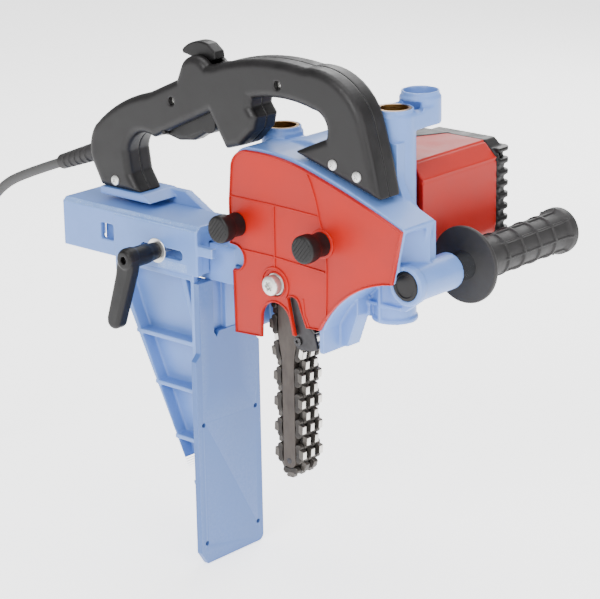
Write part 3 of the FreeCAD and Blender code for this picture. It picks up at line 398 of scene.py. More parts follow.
def circle(x: float, y: float, radius: float, count: int = 32, first: float = 0.0) -> list[Point2]:
    """Points round a circle.

    Args:
        x: The middle's first measure.
        y: Its second measure.
        radius: The radius.
        count: How many points.
        first: The angle of the first point.

    Returns:
        The points.
    """
    angles = [first + 2 * math.pi * i / count for i in range(count)]
    return [(x + radius * math.cos(angle), y + radius * math.sin(angle)) for angle in angles]


def rod(radius: float, length: float, start: float = 0.0) -> list[Point2]:
    """The profile of a plain round rod, for a lathe.

    Args:
        radius: The rod's radius.
        length: Where it ends along its axis.
        start: Where it starts.

    Returns:
        The profile.
    """
    return [(0, start), (radius, start), (radius, length), (0, length)]


class Shape:
    """A mesh under construction, in datum millimetres."""

    def __init__(self) -> None:
        """Starts with an empty mesh."""
        self.mesh = bmesh.new()

    def merge(self, part: bmesh.types.BMesh) -> "Shape":
        """Adds another mesh's faces to this one.

        Args:
            part: The other mesh, which is used up.

        Returns:
            This shape.
        """
        held = bpy.data.meshes.new("held")
        bmesh.ops.recalc_face_normals(part, faces=part.faces[:])
        part.to_mesh(held)
        part.free()
        self.mesh.from_mesh(held)
        bpy.data.meshes.remove(held)
        return self

    def prism(self, points: Sequence[Point2], low: float, high: float, plane: Plane = Plane.XZ,
              bevel: float = 0.0, segments: int = 3) -> "Shape":
        """Adds a prism on an outline, its edges rounded.

        Args:
            points: The outline, in order.
            low: Where the prism starts along the third axis.
            high: Where it ends.
            plane: The outline's plane.
            bevel: Radius of the rounded edges.
            segments: Facets round each edge.

        Returns:
            This shape.
        """
        part = bmesh.new()
        first = [part.verts.new(plane.point(u, v, low)) for u, v in points]
        last = [part.verts.new(plane.point(u, v, high)) for u, v in points]
        part.faces.new(first)
        part.faces.new(last[::-1])
        for i in range(len(points)):
            j = (i + 1) % len(points)
            part.faces.new((first[i], first[j], last[j], last[i]))
        bmesh.ops.recalc_face_normals(part, faces=part.faces[:])
        self.soften(part, bevel, segments)
        return self.merge(part)

    @staticmethod
    def soften(part: bmesh.types.BMesh, bevel: float, segments: int, angle: float = 0.5) -> None:
        """Rounds a mesh's sharp edges.

        Args:
            part: The mesh.
            bevel: Radius of the rounded edges; 0 leaves them sharp.
            segments: Facets round each edge.
            angle: The least angle between two faces, in radians, that counts as sharp.
        """
        edges = [e for e in part.edges if len(e.link_faces) == 2 and e.calc_face_angle(0) > angle]
        if bevel > 0 and edges:
            bmesh.ops.bevel(part, geom=edges, offset=bevel, segments=segments, affect="EDGES", profile=0.5,
                            clamp_overlap=True)

    def box(self, low: Point3, high: Point3) -> "Shape":
        """Adds a box.

        Args:
            low: Its lowest corner.
            high: Its highest corner.

        Returns:
            This shape.
        """
        corners = [(low[0], low[2]), (high[0], low[2]), (high[0], high[2]), (low[0], high[2])]
        return self.prism(corners, low[1], high[1])

    def lathe(self, profile: Sequence[Point2], base: Point3, axis: Vector, steps: int = 48,
              ripple: Optional[Callable[[int, float], float]] = None) -> "Shape":
        """Adds a turned piece.

        Args:
            profile: (radius, place along the axis) pairs; a radius of 0 closes an end.
            base: The axis's start.
            axis: The axis's direction.
            steps: Facets round the axis.
            ripple: Change of radius for a facet number at a place along the axis.

        Returns:
            This shape.
        """
        part = bmesh.new()
        turn = ALONG_Z.rotation_difference(axis.normalized()).to_matrix().to_4x4()
        place = Matrix.Translation(Vector(base)) @ turn
        rings = []
        for radius, along in profile:
            if radius <= TOUCHING:
                rings.append([part.verts.new(place @ Vector((0, 0, along)))])
                continue
            ring = []
            for i in range(steps):
                r = radius + (ripple(i, along) if ripple else 0.0)
                angle = 2 * math.pi * i / steps
                ring.append(part.verts.new(place @ Vector((r * math.cos(angle), r * math.sin(angle), along))))
            rings.append(ring)
        pairs = list(zip(rings, rings[1:]))
        if len(rings[0]) > 1 and len(rings[-1]) > 1:
            pairs.append((rings[-1], rings[0]))
        for a, b in pairs:
            for i in range(steps):
                j = (i + 1) % steps
                corners = [a[i % len(a)], a[j % len(a)], b[j % len(b)], b[i % len(b)]]
                distinct = [v for n, v in enumerate(corners) if v not in corners[:n]]
                if len(distinct) >= 3:
                    part.faces.new(distinct)
        return self.merge(part)

    def sweep(self, points: Sequence[Vector], section: Sequence[Point2], sideways: Vector) -> "Shape":
        """Adds a bar of constant section along a line.

        Args:
            points: The line.
            section: (sideways, outward) pairs round the section.
            sideways: The direction across the line that the section keeps to.

        Returns:
            This shape.
        """
        part = bmesh.new()
        rings = []
        for i, point in enumerate(points):
            ahead = (points[min(i + 1, len(points) - 1)] - points[max(i - 1, 0)]).normalized()
            outward = sideways.cross(ahead).normalized()
            rings.append([part.verts.new(point + sideways * a + outward * b) for a, b in section])
        for a, b in zip(rings, rings[1:]):
            for i in range(len(section)):
                j = (i + 1) % len(section)
                part.faces.new((a[i], a[j], b[j], b[i]))
        part.faces.new(rings[0][::-1])
        part.faces.new(rings[-1])
        return self.merge(part)

    def copy_node(self, name: str) -> "Shape":
        """Adds a copy of a CAD node's mesh.

        Args:
            name: The node.

        Returns:
            This shape.
        """
        source = NODES[name].data
        part = bmesh.new()
        part.from_mesh(source)
        bmesh.ops.transform(part, matrix=TO_FRAME.inverted(), verts=part.verts[:])
        bmesh.ops.remove_doubles(part, verts=part.verts[:], dist=WELD)
        return self.merge(part)

    def cut(self, tool: "Shape") -> "Shape":
        """This shape without the tool's volume."""
        return self.combined(tool, "DIFFERENCE")

    def combined(self, tool: "Shape", operation: str) -> "Shape":
        """This shape after a boolean.

        Args:
            tool: The other shape.
            operation: The modifier's name for what is done.

        Returns:
            This shape.
        """
        objects = []
        for shape in (self, tool):
            data = bpy.data.meshes.new("solid")
            shape.mesh.to_mesh(data)
            objects.append(bpy.data.objects.new("solid", data))
            bpy.context.scene.collection.objects.link(objects[-1])
        made = objects[0].modifiers.new("combine", "BOOLEAN")
        made.operation = operation
        made.object = objects[1]
        made.solver = "EXACT"
        made.use_self = True
        return self.taken_from(objects)

    def clay(self, facet: float, smooth: int) -> "Shape":
        """Melts overlapping pieces into one skin, with every corner rounded.

        Args:
            facet: Size of the skin's facets in millimetres.
            smooth: How often the skin is relaxed.

        Returns:
            This shape.
        """
        data = bpy.data.meshes.new("solid")
        self.mesh.to_mesh(data)
        lump = bpy.data.objects.new("solid", data)
        bpy.context.scene.collection.objects.link(lump)
        skin = lump.modifiers.new("skin", "REMESH")
        skin.mode = "VOXEL"
        skin.voxel_size = voxel(facet)
        if smooth:
            relax = lump.modifiers.new("relax", "SMOOTH")
            relax.factor = 0.5
            relax.iterations = smooth
        return self.taken_from([lump])

    def taken_from(self, objects: list[bpy.types.Object]) -> "Shape":
        """Reads a finished mesh back into this shape.

        Args:
            objects: The object to read, and others that go with it; all are removed.

        Returns:
            This shape.
        """
        graph = bpy.context.evaluated_depsgraph_get()
        data = bpy.data.meshes.new_from_object(objects[0].evaluated_get(graph))
        self.mesh.free()
        self.mesh = bmesh.new()
        self.mesh.from_mesh(data)
        bpy.data.meshes.remove(data)
        for made in objects:
            held = made.data
            bpy.data.objects.remove(made)
            bpy.data.meshes.remove(held)
        return self


# The frame's CAD nodes by name, filled once it is loaded.
NODES: dict[str, bpy.types.Object] = {}


@dataclass
class Piece:
    """Turns a shape into a named object that rides on a body and stands for CAD nodes.

    crease is the angle in degrees from which an edge stays sharp; None keeps the whole skin smooth. second is
    the finish of the faces that second_where picks. weighted keeps large faces flat beside rounded edges.
    """

    name: str
    body: str
    replaced: tuple[str, ...]
    slot: str
    finish: Finish
    crease: Optional[float] = 35.0
    second: Optional[Finish] = None
    second_where: Optional[Callable[[bmesh.types.BMFace], bool]] = None
    weighted: bool = True

    def build(self, shape: Shape) -> bpy.types.Object:
        """Makes the object.

        Args:
            shape: The finished shape, in datum millimetres.

        Returns:
            The object.
        """
        mesh = shape.mesh
        mesh.normal_update()
        if self.second_where:
            for face in mesh.faces:
                face.material_index = int(self.second_where(face))
        if self.crease is not None:
            limit = math.radians(self.crease)
            for edge in mesh.edges:
                edge.smooth = edge.calc_face_angle(0) < limit
        data = bpy.data.meshes.new(self.name)
        mesh.to_mesh(data)
        mesh.free()
        data.transform(TO_FRAME)
        data.polygons.foreach_set("use_smooth", [True] * len(data.polygons))
        data.materials.append(self.finish.material())
        if self.second:
            data.materials.append(self.second.material())
        made = bpy.data.objects.new(self.name, data)
        bpy.context.scene.collection.objects.link(made)
        if self.weighted:
            flats = made.modifiers.new("flats", "WEIGHTED_NORMAL")
            flats.keep_sharp = True
            flats.weight = 50
        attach(made, self.body)
        if self.replaced:
            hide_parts(*self.replaced)
        log.info("built %s, %d faces", self.name, len(data.polygons))
        return made


def skin(name: str, body: str, node: str, slot: str, finish: Finish, shape: Shape,
         second: Optional[Finish] = None,
         second_where: Optional[Callable[[bmesh.types.BMFace], bool]] = None) -> None:
    """Makes a moulded or cast piece, smooth all over.

    Args:
        name: The piece's name.
        body: The body it rides on.
        node: The CAD node it stands for.
        slot: The material slot.
        finish: Its finish.
        shape: Its shape.
        second: Finish of some of its faces.
        second_where: Picks those faces.
    """
    Piece(name, body, (node,), slot, finish, None, second, second_where, False).build(shape)


def dress(names: Iterable[str], finish: Finish) -> None:
    """Gives carried-over CAD nodes a finish.

    Args:
        names: The nodes.
        finish: The finish.
    """
    for name in names:
        slots = NODES[name].data.materials
        slots.clear()
        slots.append(finish.material())


# ---------------------------------------------------------------- studio

@dataclass
class Studio:
    """Camera, floor and soft lights."""

    eye: Point3 = (1.1731, -1.4225, 0.6029)
    azimuth: float = 41.97
    elevation: float = 17.62
    roll: float = -1.01
    lens: float = 139.2
    sensor: float = 36.0
    nearest: float = 0.05
    floor_z: float = -0.2484
    floor_half: float = 12.0
    floor_glow: float = 1.7
    sky: float = 0.55
    middle: Point3 = (-0.1, 0.0, 0.0)

    def camera(self) -> None:
        """The camera, level with the object's long view."""
        az, el, roll = (math.radians(v) for v in (self.azimuth, self.elevation, self.roll))
        back = Vector((math.sin(az) * math.cos(el), -math.cos(az) * math.cos(el), math.sin(el)))
        right = Vector((math.cos(az), math.sin(az), 0.0))
        up = back.cross(right)
        across = right * math.cos(roll) + up * math.sin(roll)
        upward = -right * math.sin(roll) + up * math.cos(roll)
        data = bpy.data.cameras.new("camera")
        data.lens = self.lens
        data.sensor_width = self.sensor
        data.clip_start = self.nearest
        made = bpy.data.objects.new("camera", data)
        turn = Matrix((across, upward, back)).transposed().to_4x4()
        made.matrix_world = Matrix.Translation(Vector(self.eye)) @ turn
        bpy.context.scene.collection.objects.link(made)
        bpy.context.scene.camera = made

    def light(self, name: str, place: Point3, size: float, power: float) -> None:
        """A square soft light aimed at the object's middle.

        Args:
            name: The light's name.
            place: Where it stands, in metres.
            size: Its side, in metres.
            power: Its power, in watts.
        """
        data = bpy.data.lights.new(name, "AREA")
        data.size = size
        data.energy = power
        made = bpy.data.objects.new(name, data)
        aim = (Vector(self.middle) - Vector(place)).to_track_quat("-Z", "Y")
        made.matrix_world = Matrix.Translation(Vector(place)) @ aim.to_matrix().to_4x4()
        bpy.context.scene.collection.objects.link(made)

    def floor(self) -> None:
        """A lit paper sweep: its own glow keeps the ground nearly white."""
        data = bpy.data.meshes.new("floor")
        side, low = self.floor_half, self.floor_z
        corners = [(-side, -side, low), (side, -side, low), (side, side, low), (-side, side, low)]
        data.from_pydata(corners, [], [(0, 1, 2, 3)])
        paper = bpy.data.materials.new("studio_paper")
        paper.use_nodes = True
        shader = paper.node_tree.nodes["Principled BSDF"]
        for socket, value in (("Base Color", srgb("#FAFAFA")), ("Roughness", 0.9),
                              ("Emission Color", srgb("#FFFFFF")), ("Emission Strength", self.floor_glow)):
            shader.inputs[socket].default_value = value
        data.materials.append(paper)
        made = bpy.data.objects.new("floor", data)
        bpy.context.scene.collection.objects.link(made)

    def build(self) -> None:
        """Makes the camera, the floor, the lights and the pale surroundings."""
        self.camera()
        self.floor()
        self.light("key", (0.45, -2.3, 1.5), 1.5, 70)
        self.light("fill", (2.2, -0.6, 1.0), 1.8, 36)
        self.light("top", (0.0, 0.4, 2.2), 2.0, 52)
        self.light("rim", (-0.8, 1.8, 1.1), 1.4, 34)
        world = bpy.data.worlds.new("studio")
        bpy.context.scene.world = world
        world.use_nodes = True
        sky = world.node_tree.nodes["Background"]
        sky.inputs["Color"].default_value = srgb("#FFFFFF")
        sky.inputs["Strength"].default_value = self.sky


# ---------------------------------------------------------------- cord

@dataclass
class Cord:
    """The mains lead: boot, free run to the floor, tied coil, plug."""

    diameter: float = 9.0
    middle: Point2 = (-505.0, -20.0)
    inner: float = 41.5
    outer: float = 64.5
    levels: tuple[float, ...] = (-89.2, -98.1, -107.0)
    turns_per_level: float = 2.5
    steps: int = 16
    drop_steps: int = 4
    entry_radius: float = 54.0
    entry_z: float = -80.2
    plug_ahead: float = 40.0
    plug_z: float = -94.5
    route: tuple[Point3, ...] = (
        (-281, 12, 219.6), (-323, 12, 204.1), (-366, 13, 185), (-401, 17, 151), (-417, 21, 102),
        (-423, 25, 50), (-427, 28, 6), (-430, 30.5, -31), (-440, 32.5, -55), (-459, 34, -71.5),
        (-484, 34, -80.2))

    def coil(self) -> list[Point3]:
        """Points of the wound part, from the top of the coil to the tail.

        Returns:
            The points, in datum millimetres.
        """
        x, y = self.middle
        count = self.steps
        points = []

        def place(angle: float, radius: float, height: float) -> None:
            """Adds a point at an angle round the coil's middle."""
            points.append((x + radius * math.cos(angle), y + radius * math.sin(angle), height))

        angle = math.pi / 2
        height = self.entry_z
        for i in range(count):
            radius = self.entry_radius + (self.inner - self.entry_radius) * i / count
            place(angle + 2 * math.pi * i / count, radius, height)
        angle += 2 * math.pi
        here, there = self.inner, self.outer
        total = int(count * self.turns_per_level)
        for level in self.levels:
            for i in range(total):
                drop = min(1.0, i / self.drop_steps)
                place(angle + 2 * math.pi * i / count, here + (there - here) * i / total,
                      height + (level - height) * drop)
            angle += 2 * math.pi * total / count
            here, there = there, here
            height = level
        place(angle, here, height)
        return points

    def curve(self) -> bpy.types.Object:
        """The lead as one smooth curve.

        Returns:
            The curve.
        """
        x, tail_y = self.middle[0], self.middle[1] - self.outer
        tail = [(x + 12, tail_y, -106.0), (x + 26, tail_y, -101.0), (x + 41, tail_y, self.plug_z)]
        points = [*self.route, *self.coil(), *tail]
        data = bpy.data.curves.new("cord_lead", "CURVE")
        data.dimensions = "3D"
        # Points of radius 0.01 keep the curve's box tight; the bevel makes up for it.
        point_radius = 0.01
        data.bevel_depth = self.diameter / 2 * MM / point_radius
        data.bevel_resolution = 5
        data.resolution_u = 6
        data.use_fill_caps = True
        spline = data.splines.new("NURBS")
        spline.points.add(len(points) - 1)
        for made, point in zip(spline.points, points):
            made.co = (*at(*point), 1.0)
            made.radius = point_radius
        spline.order_u = 3
        spline.use_endpoint_u = True
        data.materials.append(CORD_RUBBER.material())
        made = bpy.data.objects.new("cord_lead", data)
        bpy.context.scene.collection.objects.link(made)
        return made

    def boot(self) -> None:
        """The tapered boot with shallow rings that let it flex."""
        root = Vector((-226.2, 12, 239.8))
        along = Vector(self.route[0]) - root
        reach = along.length
        profile = [(0, -9), (6.2, -9), (6.3, -0.5), (8.6, 0.0)]
        for ring in range(5):
            a = 14 + ring * 8.0
            wall = 8.6 - 1.6 * a / reach
            profile += [(wall, a), (wall - 0.9, a + 0.8), (wall - 0.95, a + 3.0), (wall - 0.15, a + 3.8)]
        profile += [(7.0, reach - 1.5), (6.4, reach), (0, reach)]
        Piece("cable_boot_rubber", MACHINE, ("cable_boot",), "rubber", GRIP_RUBBER).build(
            Shape().lathe(profile, tuple(root), along, 40))

    def tie(self) -> None:
        """The strap round the coil, as a band bent along a short arc."""
        x, y = self.middle
        low, high, thick = -111.5, -84.6, 1.2
        outside = [(35.0, low - 0.4), (71.6, low - 0.4), (73, low + 2), (73, high - 1), (71, high + 1.6),
                   (37, high + 1.6), (35, high - 1)]
        inside = [(r + (thick if r < 50 else -thick), z + (thick if z < -98 else -thick)) for r, z in outside]
        part = bmesh.new()
        rows = []
        for step in range(5):
            angle = math.radians(176 + 2.5 * step)
            c, s = math.cos(angle), math.sin(angle)
            rows.append(([part.verts.new((x + r * c, y + r * s, max(z, low - 0.9))) for r, z in outside],
                         [part.verts.new((x + r * c, y + r * s, z)) for r, z in inside]))
        count = len(outside)
        for (outer_a, inner_a), (outer_b, inner_b) in zip(rows, rows[1:]):
            for i in range(count):
                j = (i + 1) % count
                part.faces.new((outer_a[i], outer_a[j], outer_b[j], outer_b[i]))
                part.faces.new((inner_a[j], inner_a[i], inner_b[i], inner_b[j]))
        for outer, inner in (rows[0], rows[-1]):
            for i in range(count):
                j = (i + 1) % count
                part.faces.new((outer[i], inner[i], inner[j], outer[j]))
        Piece("cord_tie_strap", MACHINE, ("cord_tie",), PLASTIC_SLOT,
              BLACK_MOULDED).build(Shape().merge(part))

    def plug(self) -> bpy.types.Object:
        """The plug's body and its two pins.

        Returns:
            The pins.
        """
        x, y = self.middle[0] + self.plug_ahead, self.middle[1] - self.outer
        profile = [(0, 0), (6.2, 0), (6.4, 1.0), (8, 10), (13, 20), (15.5, 26), (18.4, 29), (18.4, 44),
                   (17.6, 47.4), (16.8, 48), (0, 48)]

        def fingers(i: int, along: float) -> float:
            """Shallow grooves for the fingers round the plug's rim."""
            return -0.7 if 26 < along < 46 and i % 4 < 1 else 0.0

        body = Shape().lathe(profile, (x, y, self.plug_z), ALONG_X, 48, fingers)
        Piece("plug_body", MACHINE, (), PLASTIC_SLOT, BLACK_MOULDED).build(body)
        pins = Shape()
        for side in (-1, 1):
            pins.lathe([(0, -1), (2.4, -1), (2.4, 17.6), (1.7, 19), (0, 19)],
                       (x + 47, y + side * 9.5, self.plug_z), ALONG_X, 24)
        return Piece("plug_pins", MACHINE, ("plug",), ZINC_SLOT, ZINC).build(pins)

    def build(self) -> None:
        """Makes the lead, its boot, tie and plug."""
        lead = self.curve()
        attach(lead, MACHINE)
        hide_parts("cord", "cord_coil")
        length = measured(lead)
        log.info("cord is %.3f m long", length)
        self.boot()
        self.tie()
        pins = self.plug()


def measured(curve: bpy.types.Object) -> float:
    """The length of a curve's centreline.

    Args:
        curve: The curve.

    Returns:
        The length, in metres.
    """
    depth, curve.data.bevel_depth = curve.data.bevel_depth, 0.0
    graph = bpy.context.evaluated_depsgraph_get()
    line = bpy.data.meshes.new_from_object(curve.evaluated_get(graph))
    ends = [[line.vertices[i].co for i in edge.vertices] for edge in line.edges]
    total = sum((a - b).length for a, b in ends)
    bpy.data.meshes.remove(line)
    curve.data.bevel_depth = depth
    return total


# ---------------------------------------------------------------- cover

# Height of the bar bolt's axis over the nose roller.
BOLT_Z = 162.0


@dataclass
class Cover:
    """The red chain cover with its ribs, and the two black knobs."""

    front: float = -10.0
    back: float = -7.5
    knob_z: float = 207.0
    knob_length: float = 24.0
    bolt_x: float = 0.5

    def edge(self) -> list[Point2]:
        """The cover's outline, as x and z.

        Returns:
            The points.
        """
        return outline([
            (-46.5, 110.1), (-47.5, 166.9), (-45, 166.9), ((-34.5, 177.6), (-45, 188.4)), (-50.4, 188.4),
            (-50.4, 226), (-47.5, 258), ((-40, 269.5), (-27.2, 272.7)), (-24, 273),
            ((10, 271.5), (30.5, 267.7)), ((85, 251), (137.7, 231.1)), (127.2, 185.2),
            ((93.5, 174.4), (49.6, 131.1)), (34.6, 130.3), (27, 148), ((21, 154.5), (14.8, 152.5)),
            (22.1, 120.5), (19.7, 120.5), (16.9, 133), ((1, 146), (-15.2, 133)), (-16.2, 112)])

    def strip(self, shape: Shape, points: Sequence[Point2], width: float = 1.5, height: float = 1.1) -> None:
        """A raised rib along a line on the cover's face.

        Args:
            shape: What the rib is added to.
            points: The line.
            width: The rib's foot.
            height: How far it stands out.
        """
        line = [Vector((x, self.front, z)) for x, z in points]
        half = width / 2
        section = [(-half, 0.3), (-half * 0.75, -height * 0.75), (-half * 0.3, -height),
                   (half * 0.3, -height), (half * 0.75, -height * 0.75), (half, 0.3)]
        part = bmesh.new()
        rings = []
        for i, point in enumerate(line):
            ahead = (line[min(i + 1, len(line) - 1)] - line[max(i - 1, 0)]).normalized()
            side = ahead.cross(ALONG_Y).normalized()
            rings.append([part.verts.new(point + side * a + ALONG_Y * b) for a, b in section])
        for a, b in zip(rings, rings[1:]):
            for i in range(len(section)):
                j = (i + 1) % len(section)
                part.faces.new((a[i], a[j], b[j], b[i]))
        part.faces.new(rings[0][::-1])
        part.faces.new(rings[-1])
        shape.merge(part)

    def plate(self) -> Shape:
        """The moulded plate with its rim, ribs and boss ring.

        Returns:
            The shape.
        """
        x = self.bolt_x
        shape = Shape().prism(self.edge(), self.front, self.back, Plane.XZ, 0.45, 2)
        shape.cut(Shape().lathe(rod(10.2, 15, -5), (x, -16, BOLT_Z), ALONG_Y, 48))
        rim = self.inset(self.edge(), 0.9)
        self.strip(shape, [*rim, rim[0], rim[1]], 1.7, 1.3)
        self.strip(shape, [(-49, 231), (-10, 231), (20, 230.5), (49.5, 229.5)])
        self.strip(shape, [(-36, 186), (0, 186), (30, 184.5), (56, 183)])
        self.strip(shape, [(0.7, 177.5), (0.7, 205), (0.7, 230.5)])
        curve = [(37, 265.5), *arc((37, 265.5), (46, 246), (50.5, 228), 6),
                 *arc((50.5, 228), (56.5, 205), (58, 186), 5), (57.6, 165), (56.6, 141)]
        self.strip(shape, curve)
        # A ring open at its foot round the bolt, and a closed lip round the bolt's hole.
        for radius, first, turn, steps, ends, width, height in ((14.6, -40, 250, 24, 25, 2.0, 1.3),
                                                                (10.9, 0, 360, 32, 34, 1.3, 0.9)):
            angles = [math.radians(first + turn * i / steps) for i in range(ends)]
            ring = [(x + radius * math.cos(a), BOLT_Z + radius * math.sin(a)) for a in angles]
            self.strip(shape, ring, width, height)
        self.strip(shape, [(31, 155), (32.5, 142), (37.5, 131.5)], 2.6, 0.8)
        # Raised seat under the right knob.
        return shape.lathe([(0, 0), (12.5, 0), (12.5, -1.2), (11.5, -1.9), (0, -1.9)],
                           (53.5, self.front + 0.2, self.knob_z), ALONG_Y, 40)

    @staticmethod
    def inset(points: Sequence[Point2], distance: float) -> list[Point2]:
        """An outline moved inwards, each corner along its own bisector.

        Args:
            points: The outline.
            distance: How far; a negative one moves it outwards.

        Returns:
            The moved points.
        """
        area = sum(a[0] * b[1] - b[0] * a[1] for a, b in zip(points, [*points[1:], points[0]]))
        sign = 1 if area > 0 else -1
        moved = []
        count = len(points)
        for i, point in enumerate(points):
            before = Vector(point) - Vector(points[i - 1])
            after = Vector(points[(i + 1) % count]) - Vector(point)
            before.normalize()
            after.normalize()
            normal = Vector((-before.y - after.y, before.x + after.x)) * sign
            if normal.length < TOUCHING:
                moved.append(point)
                continue
            normal.normalize()
            square = Vector((-before.y, before.x)) * sign
            # A very sharp corner would run far out, so its reach has an end.
            reach = distance / max(0.45, normal.dot(square))
            moved.append((point[0] + normal.x * reach, point[1] + normal.y * reach))
        return moved

    def knob(self, side: str, x: float, start: float) -> None:
        """A mushroom knob: ribbed skirt, ridged end face, waisted neck.

        Args:
            side: Which of the two it is.
            x: Its place across the cover.
            start: The place of its foot.
        """
        length = self.knob_length
        profile = [(0, 0), (9.8, 0), (11.2, 0.5), (12.0, 1.8), (12.1, 7.0), (11.8, 10.5), (11.0, 12.4),
                   (10.2, 14.5), (10.0, 19.0), (10.3, 22.5), (10.4, length), (0, length)]

        def ribs(i: int, along: float) -> float:
            """Grooves round the knob's rim."""
            return -0.32 if i % 2 and 1 < along < 12 else 0.0

        front = Vector((x, start - length, self.knob_z))
        shape = Shape().lathe(profile, tuple(front), ALONG_Y, 88, ribs)
        tilt = math.radians(52)
        direction = Vector((math.cos(tilt), 0, math.sin(tilt)))
        across = Vector((-math.sin(tilt), 0, math.cos(tilt)))
        ridge = [(0.35, 0.7), (-0.35, 0.35), (-0.35, -0.35), (0.35, -0.7)]
        for i in range(-3, 4):
            offset = i * 2.9
            half = math.sqrt(9.6 ** 2 - offset ** 2)
            line = [front + across * offset + direction * half * share for share in (-1, -0.5, 0, 0.5, 1)]
            shape.sweep(line, ridge, ALONG_Y)
        shape.lathe([(0, 0), (3.0, 0), (3.0, 11.5), (2.4, 12), (0, 12)], (x, start - 1.5, self.knob_z),
                    ALONG_Y, 20)
        Piece(f"cover_knob_{side}_grip", f"knob_{side}", (f"cover_knob_{side}",), PLASTIC_SLOT,
              BLACK_MOULDED, crease=50).build(shape)

    def build(self) -> None:
        """Makes the cover and its knobs."""
        Piece("chain_cover_moulding", "cover", ("chain_cover",), "red_plastic", RED_ABS,
              crease=40).build(self.plate())
        self.knob("left", -42.0, -10.2)
        self.knob("right", 53.5, -11.7)


# ---------------------------------------------------------------- chain

@dataclass
class ChainSet:
    """Mortising chain, guide bar, its bolt, and the chip deflector."""

    axis: float = 1.8
    top: float = 212.0
    middle: float = 14.5
    body_half: float = 3.0
    plate_half: float = 2.35
    cutter_half: float = 2.5
    cutter_top: float = 6.1
    pitch_wanted: float = 11.35
    layers: tuple[float, ...] = (3.9, 9.2, 14.5, 19.8, 25.1)
    pivot: Point2 = (22.6, 115.6)

    def loop(self) -> list[Point2]:
        """The line through the link pins, as close points round the bar and the sprocket.

        Returns:
            The points, as x and z.
        """
        offset = 0.3 + self.body_half
        x = self.axis
        low, high, cap = 7 + offset, 10.4 + offset, 13.5 + offset
        left = [(x - low, 0), (x - low, 92), (x - high, 108), (x - cap, self.top)]
        over = arc((x - cap, self.top), (x, self.top + cap), (x + cap, self.top), 24)
        right = [(x + high, 108), (x + low, 92), (x + low, 0)]
        under = arc((x + low, 0), (x, -low), (x - low, 0), 24)
        return left + over + right + under

    def chain(self) -> Shape:
        """Every link with its cutters, and the pins.

        Returns:
            The shape.
        """
        line = self.loop()
        lengths = [0.0]
        for a, b in zip(line, line[1:]):
            lengths.append(lengths[-1] + math.dist(a, b))
        total = lengths[-1]
        count = 2 * round(total / self.pitch_wanted / 2)
        pitch = total / count

        def point(distance: float) -> Vector:
            """The place at a distance along the loop.

            Args:
                distance: In millimetres; it may run past the loop's end.

            Returns:
                The place, as x and z.
            """
            distance %= total
            for i in range(len(line) - 1):
                if lengths[i + 1] >= distance:
                    share = (distance - lengths[i]) / max(1e-9, lengths[i + 1] - lengths[i])
                    a, b = Vector(line[i]), Vector(line[i + 1])
                    return a + (b - a) * share
            return Vector(line[-1])

        shape = Shape()
        for i in range(count):
            start, end = point(i * pitch), point((i + 1) * pitch)
            middle = (start + end) / 2
            along = (end - start).normalized()
            outward = Vector((-along.y, along.x))
            if outward.dot(middle - Vector((self.axis, min(max(middle.y, 0), self.top)))) < 0:
                outward = -outward
            half = (end - start).length / 2
            # Links stand in turn in three layers and in the two between them.
            for layer in self.layers[i % 2::2]:
                self.link(shape, middle, along, outward, half, layer)
            shape.lathe([(0, 0), (1.6, 0), (2.1, 0.5), (2.1, 25.1), (1.6, 25.6), (0, 25.6)],
                        (start.x, 1.7, start.y), ALONG_Y, 14)
        return shape

    def link(self, shape: Shape, middle: Vector, along: Vector, outward: Vector, half: float,
             layer: float) -> None:
        """One link plate and the cutter that stands on it.

        Args:
            shape: What they are added to.
            middle: The link's middle, as x and z.
            along: The way the chain runs.
            outward: Away from the bar.
            half: Half the pitch.
            layer: The middle of the plate's thickness.
        """
        r = self.body_half
        body: list[Point2] = []
        for side, first in ((1, -110), (-1, 70)):
            for k in range(9):
                angle = math.radians(first + 220 * k / 8)
                body.append((side * half + r * math.cos(angle), r * math.sin(angle)))
            body.append((0, side * r * 0.72))
        # The working strand runs down the right side, so each cutter leads towards the nose there.
        top = self.cutter_top
        profile = [(-half + 1.0, 1.2), (-half + 1.9, top - 0.9), (-half + 2.5, top), (-half + 9.6, top - 0.4),
                   (-half + 10.3, top - 2.2), (-half + 8.6, 1.2)]
        low, high = max(layer - self.cutter_half, 1.35), min(layer + self.cutter_half, 27.65)
        for points, start, end, bevel in ((body, layer - self.plate_half, layer + self.plate_half, 0.35),
                                          (profile, low, high, 0.3)):
            turned = [tuple(middle + along * u + outward * v) for u, v in points]
            shape.prism(turned, start, end, Plane.XZ, bevel, 1)

    def is_land(self, face: bmesh.types.BMFace) -> bool:
        """Whether a face is the ground top of a cutter.

        Args:
            face: The face.

        Returns:
            The answer.
        """
        centre = face.calc_center_median()
        if face.calc_area() < 7 or centre.z > 120:
            return False
        out = abs(centre.x - self.axis) if centre.z > 0 else math.hypot(centre.x - self.axis, centre.z)
        return out > 7.3 + self.body_half + 5.3

    def bar(self) -> Shape:
        """The guide bar, forked round its nose roller and slotted for the bolt.

        Returns:
            The shape.
        """
        x = self.axis
        edge = outline([(x - 7, 0), (x - 7, 92), (x - 10.4, 108), (x - 10.4, 190), (x + 10.4, 190),
                        (x + 10.4, 108), (x + 7, 92), (x + 7, 0), ((x, -7), (x - 7, 0))])
        shape = Shape().prism(edge, 2.0, 27.0, Plane.XZ, 0.7, 2)
        shape.cut(Shape().box((x - 20, self.middle - 4.3, -20), (x + 20, self.middle + 4.3, 8)))
        return shape.cut(Shape().box((-5.2, 0, BOLT_Z - 12), (5.2, 30, BOLT_Z + 12)))

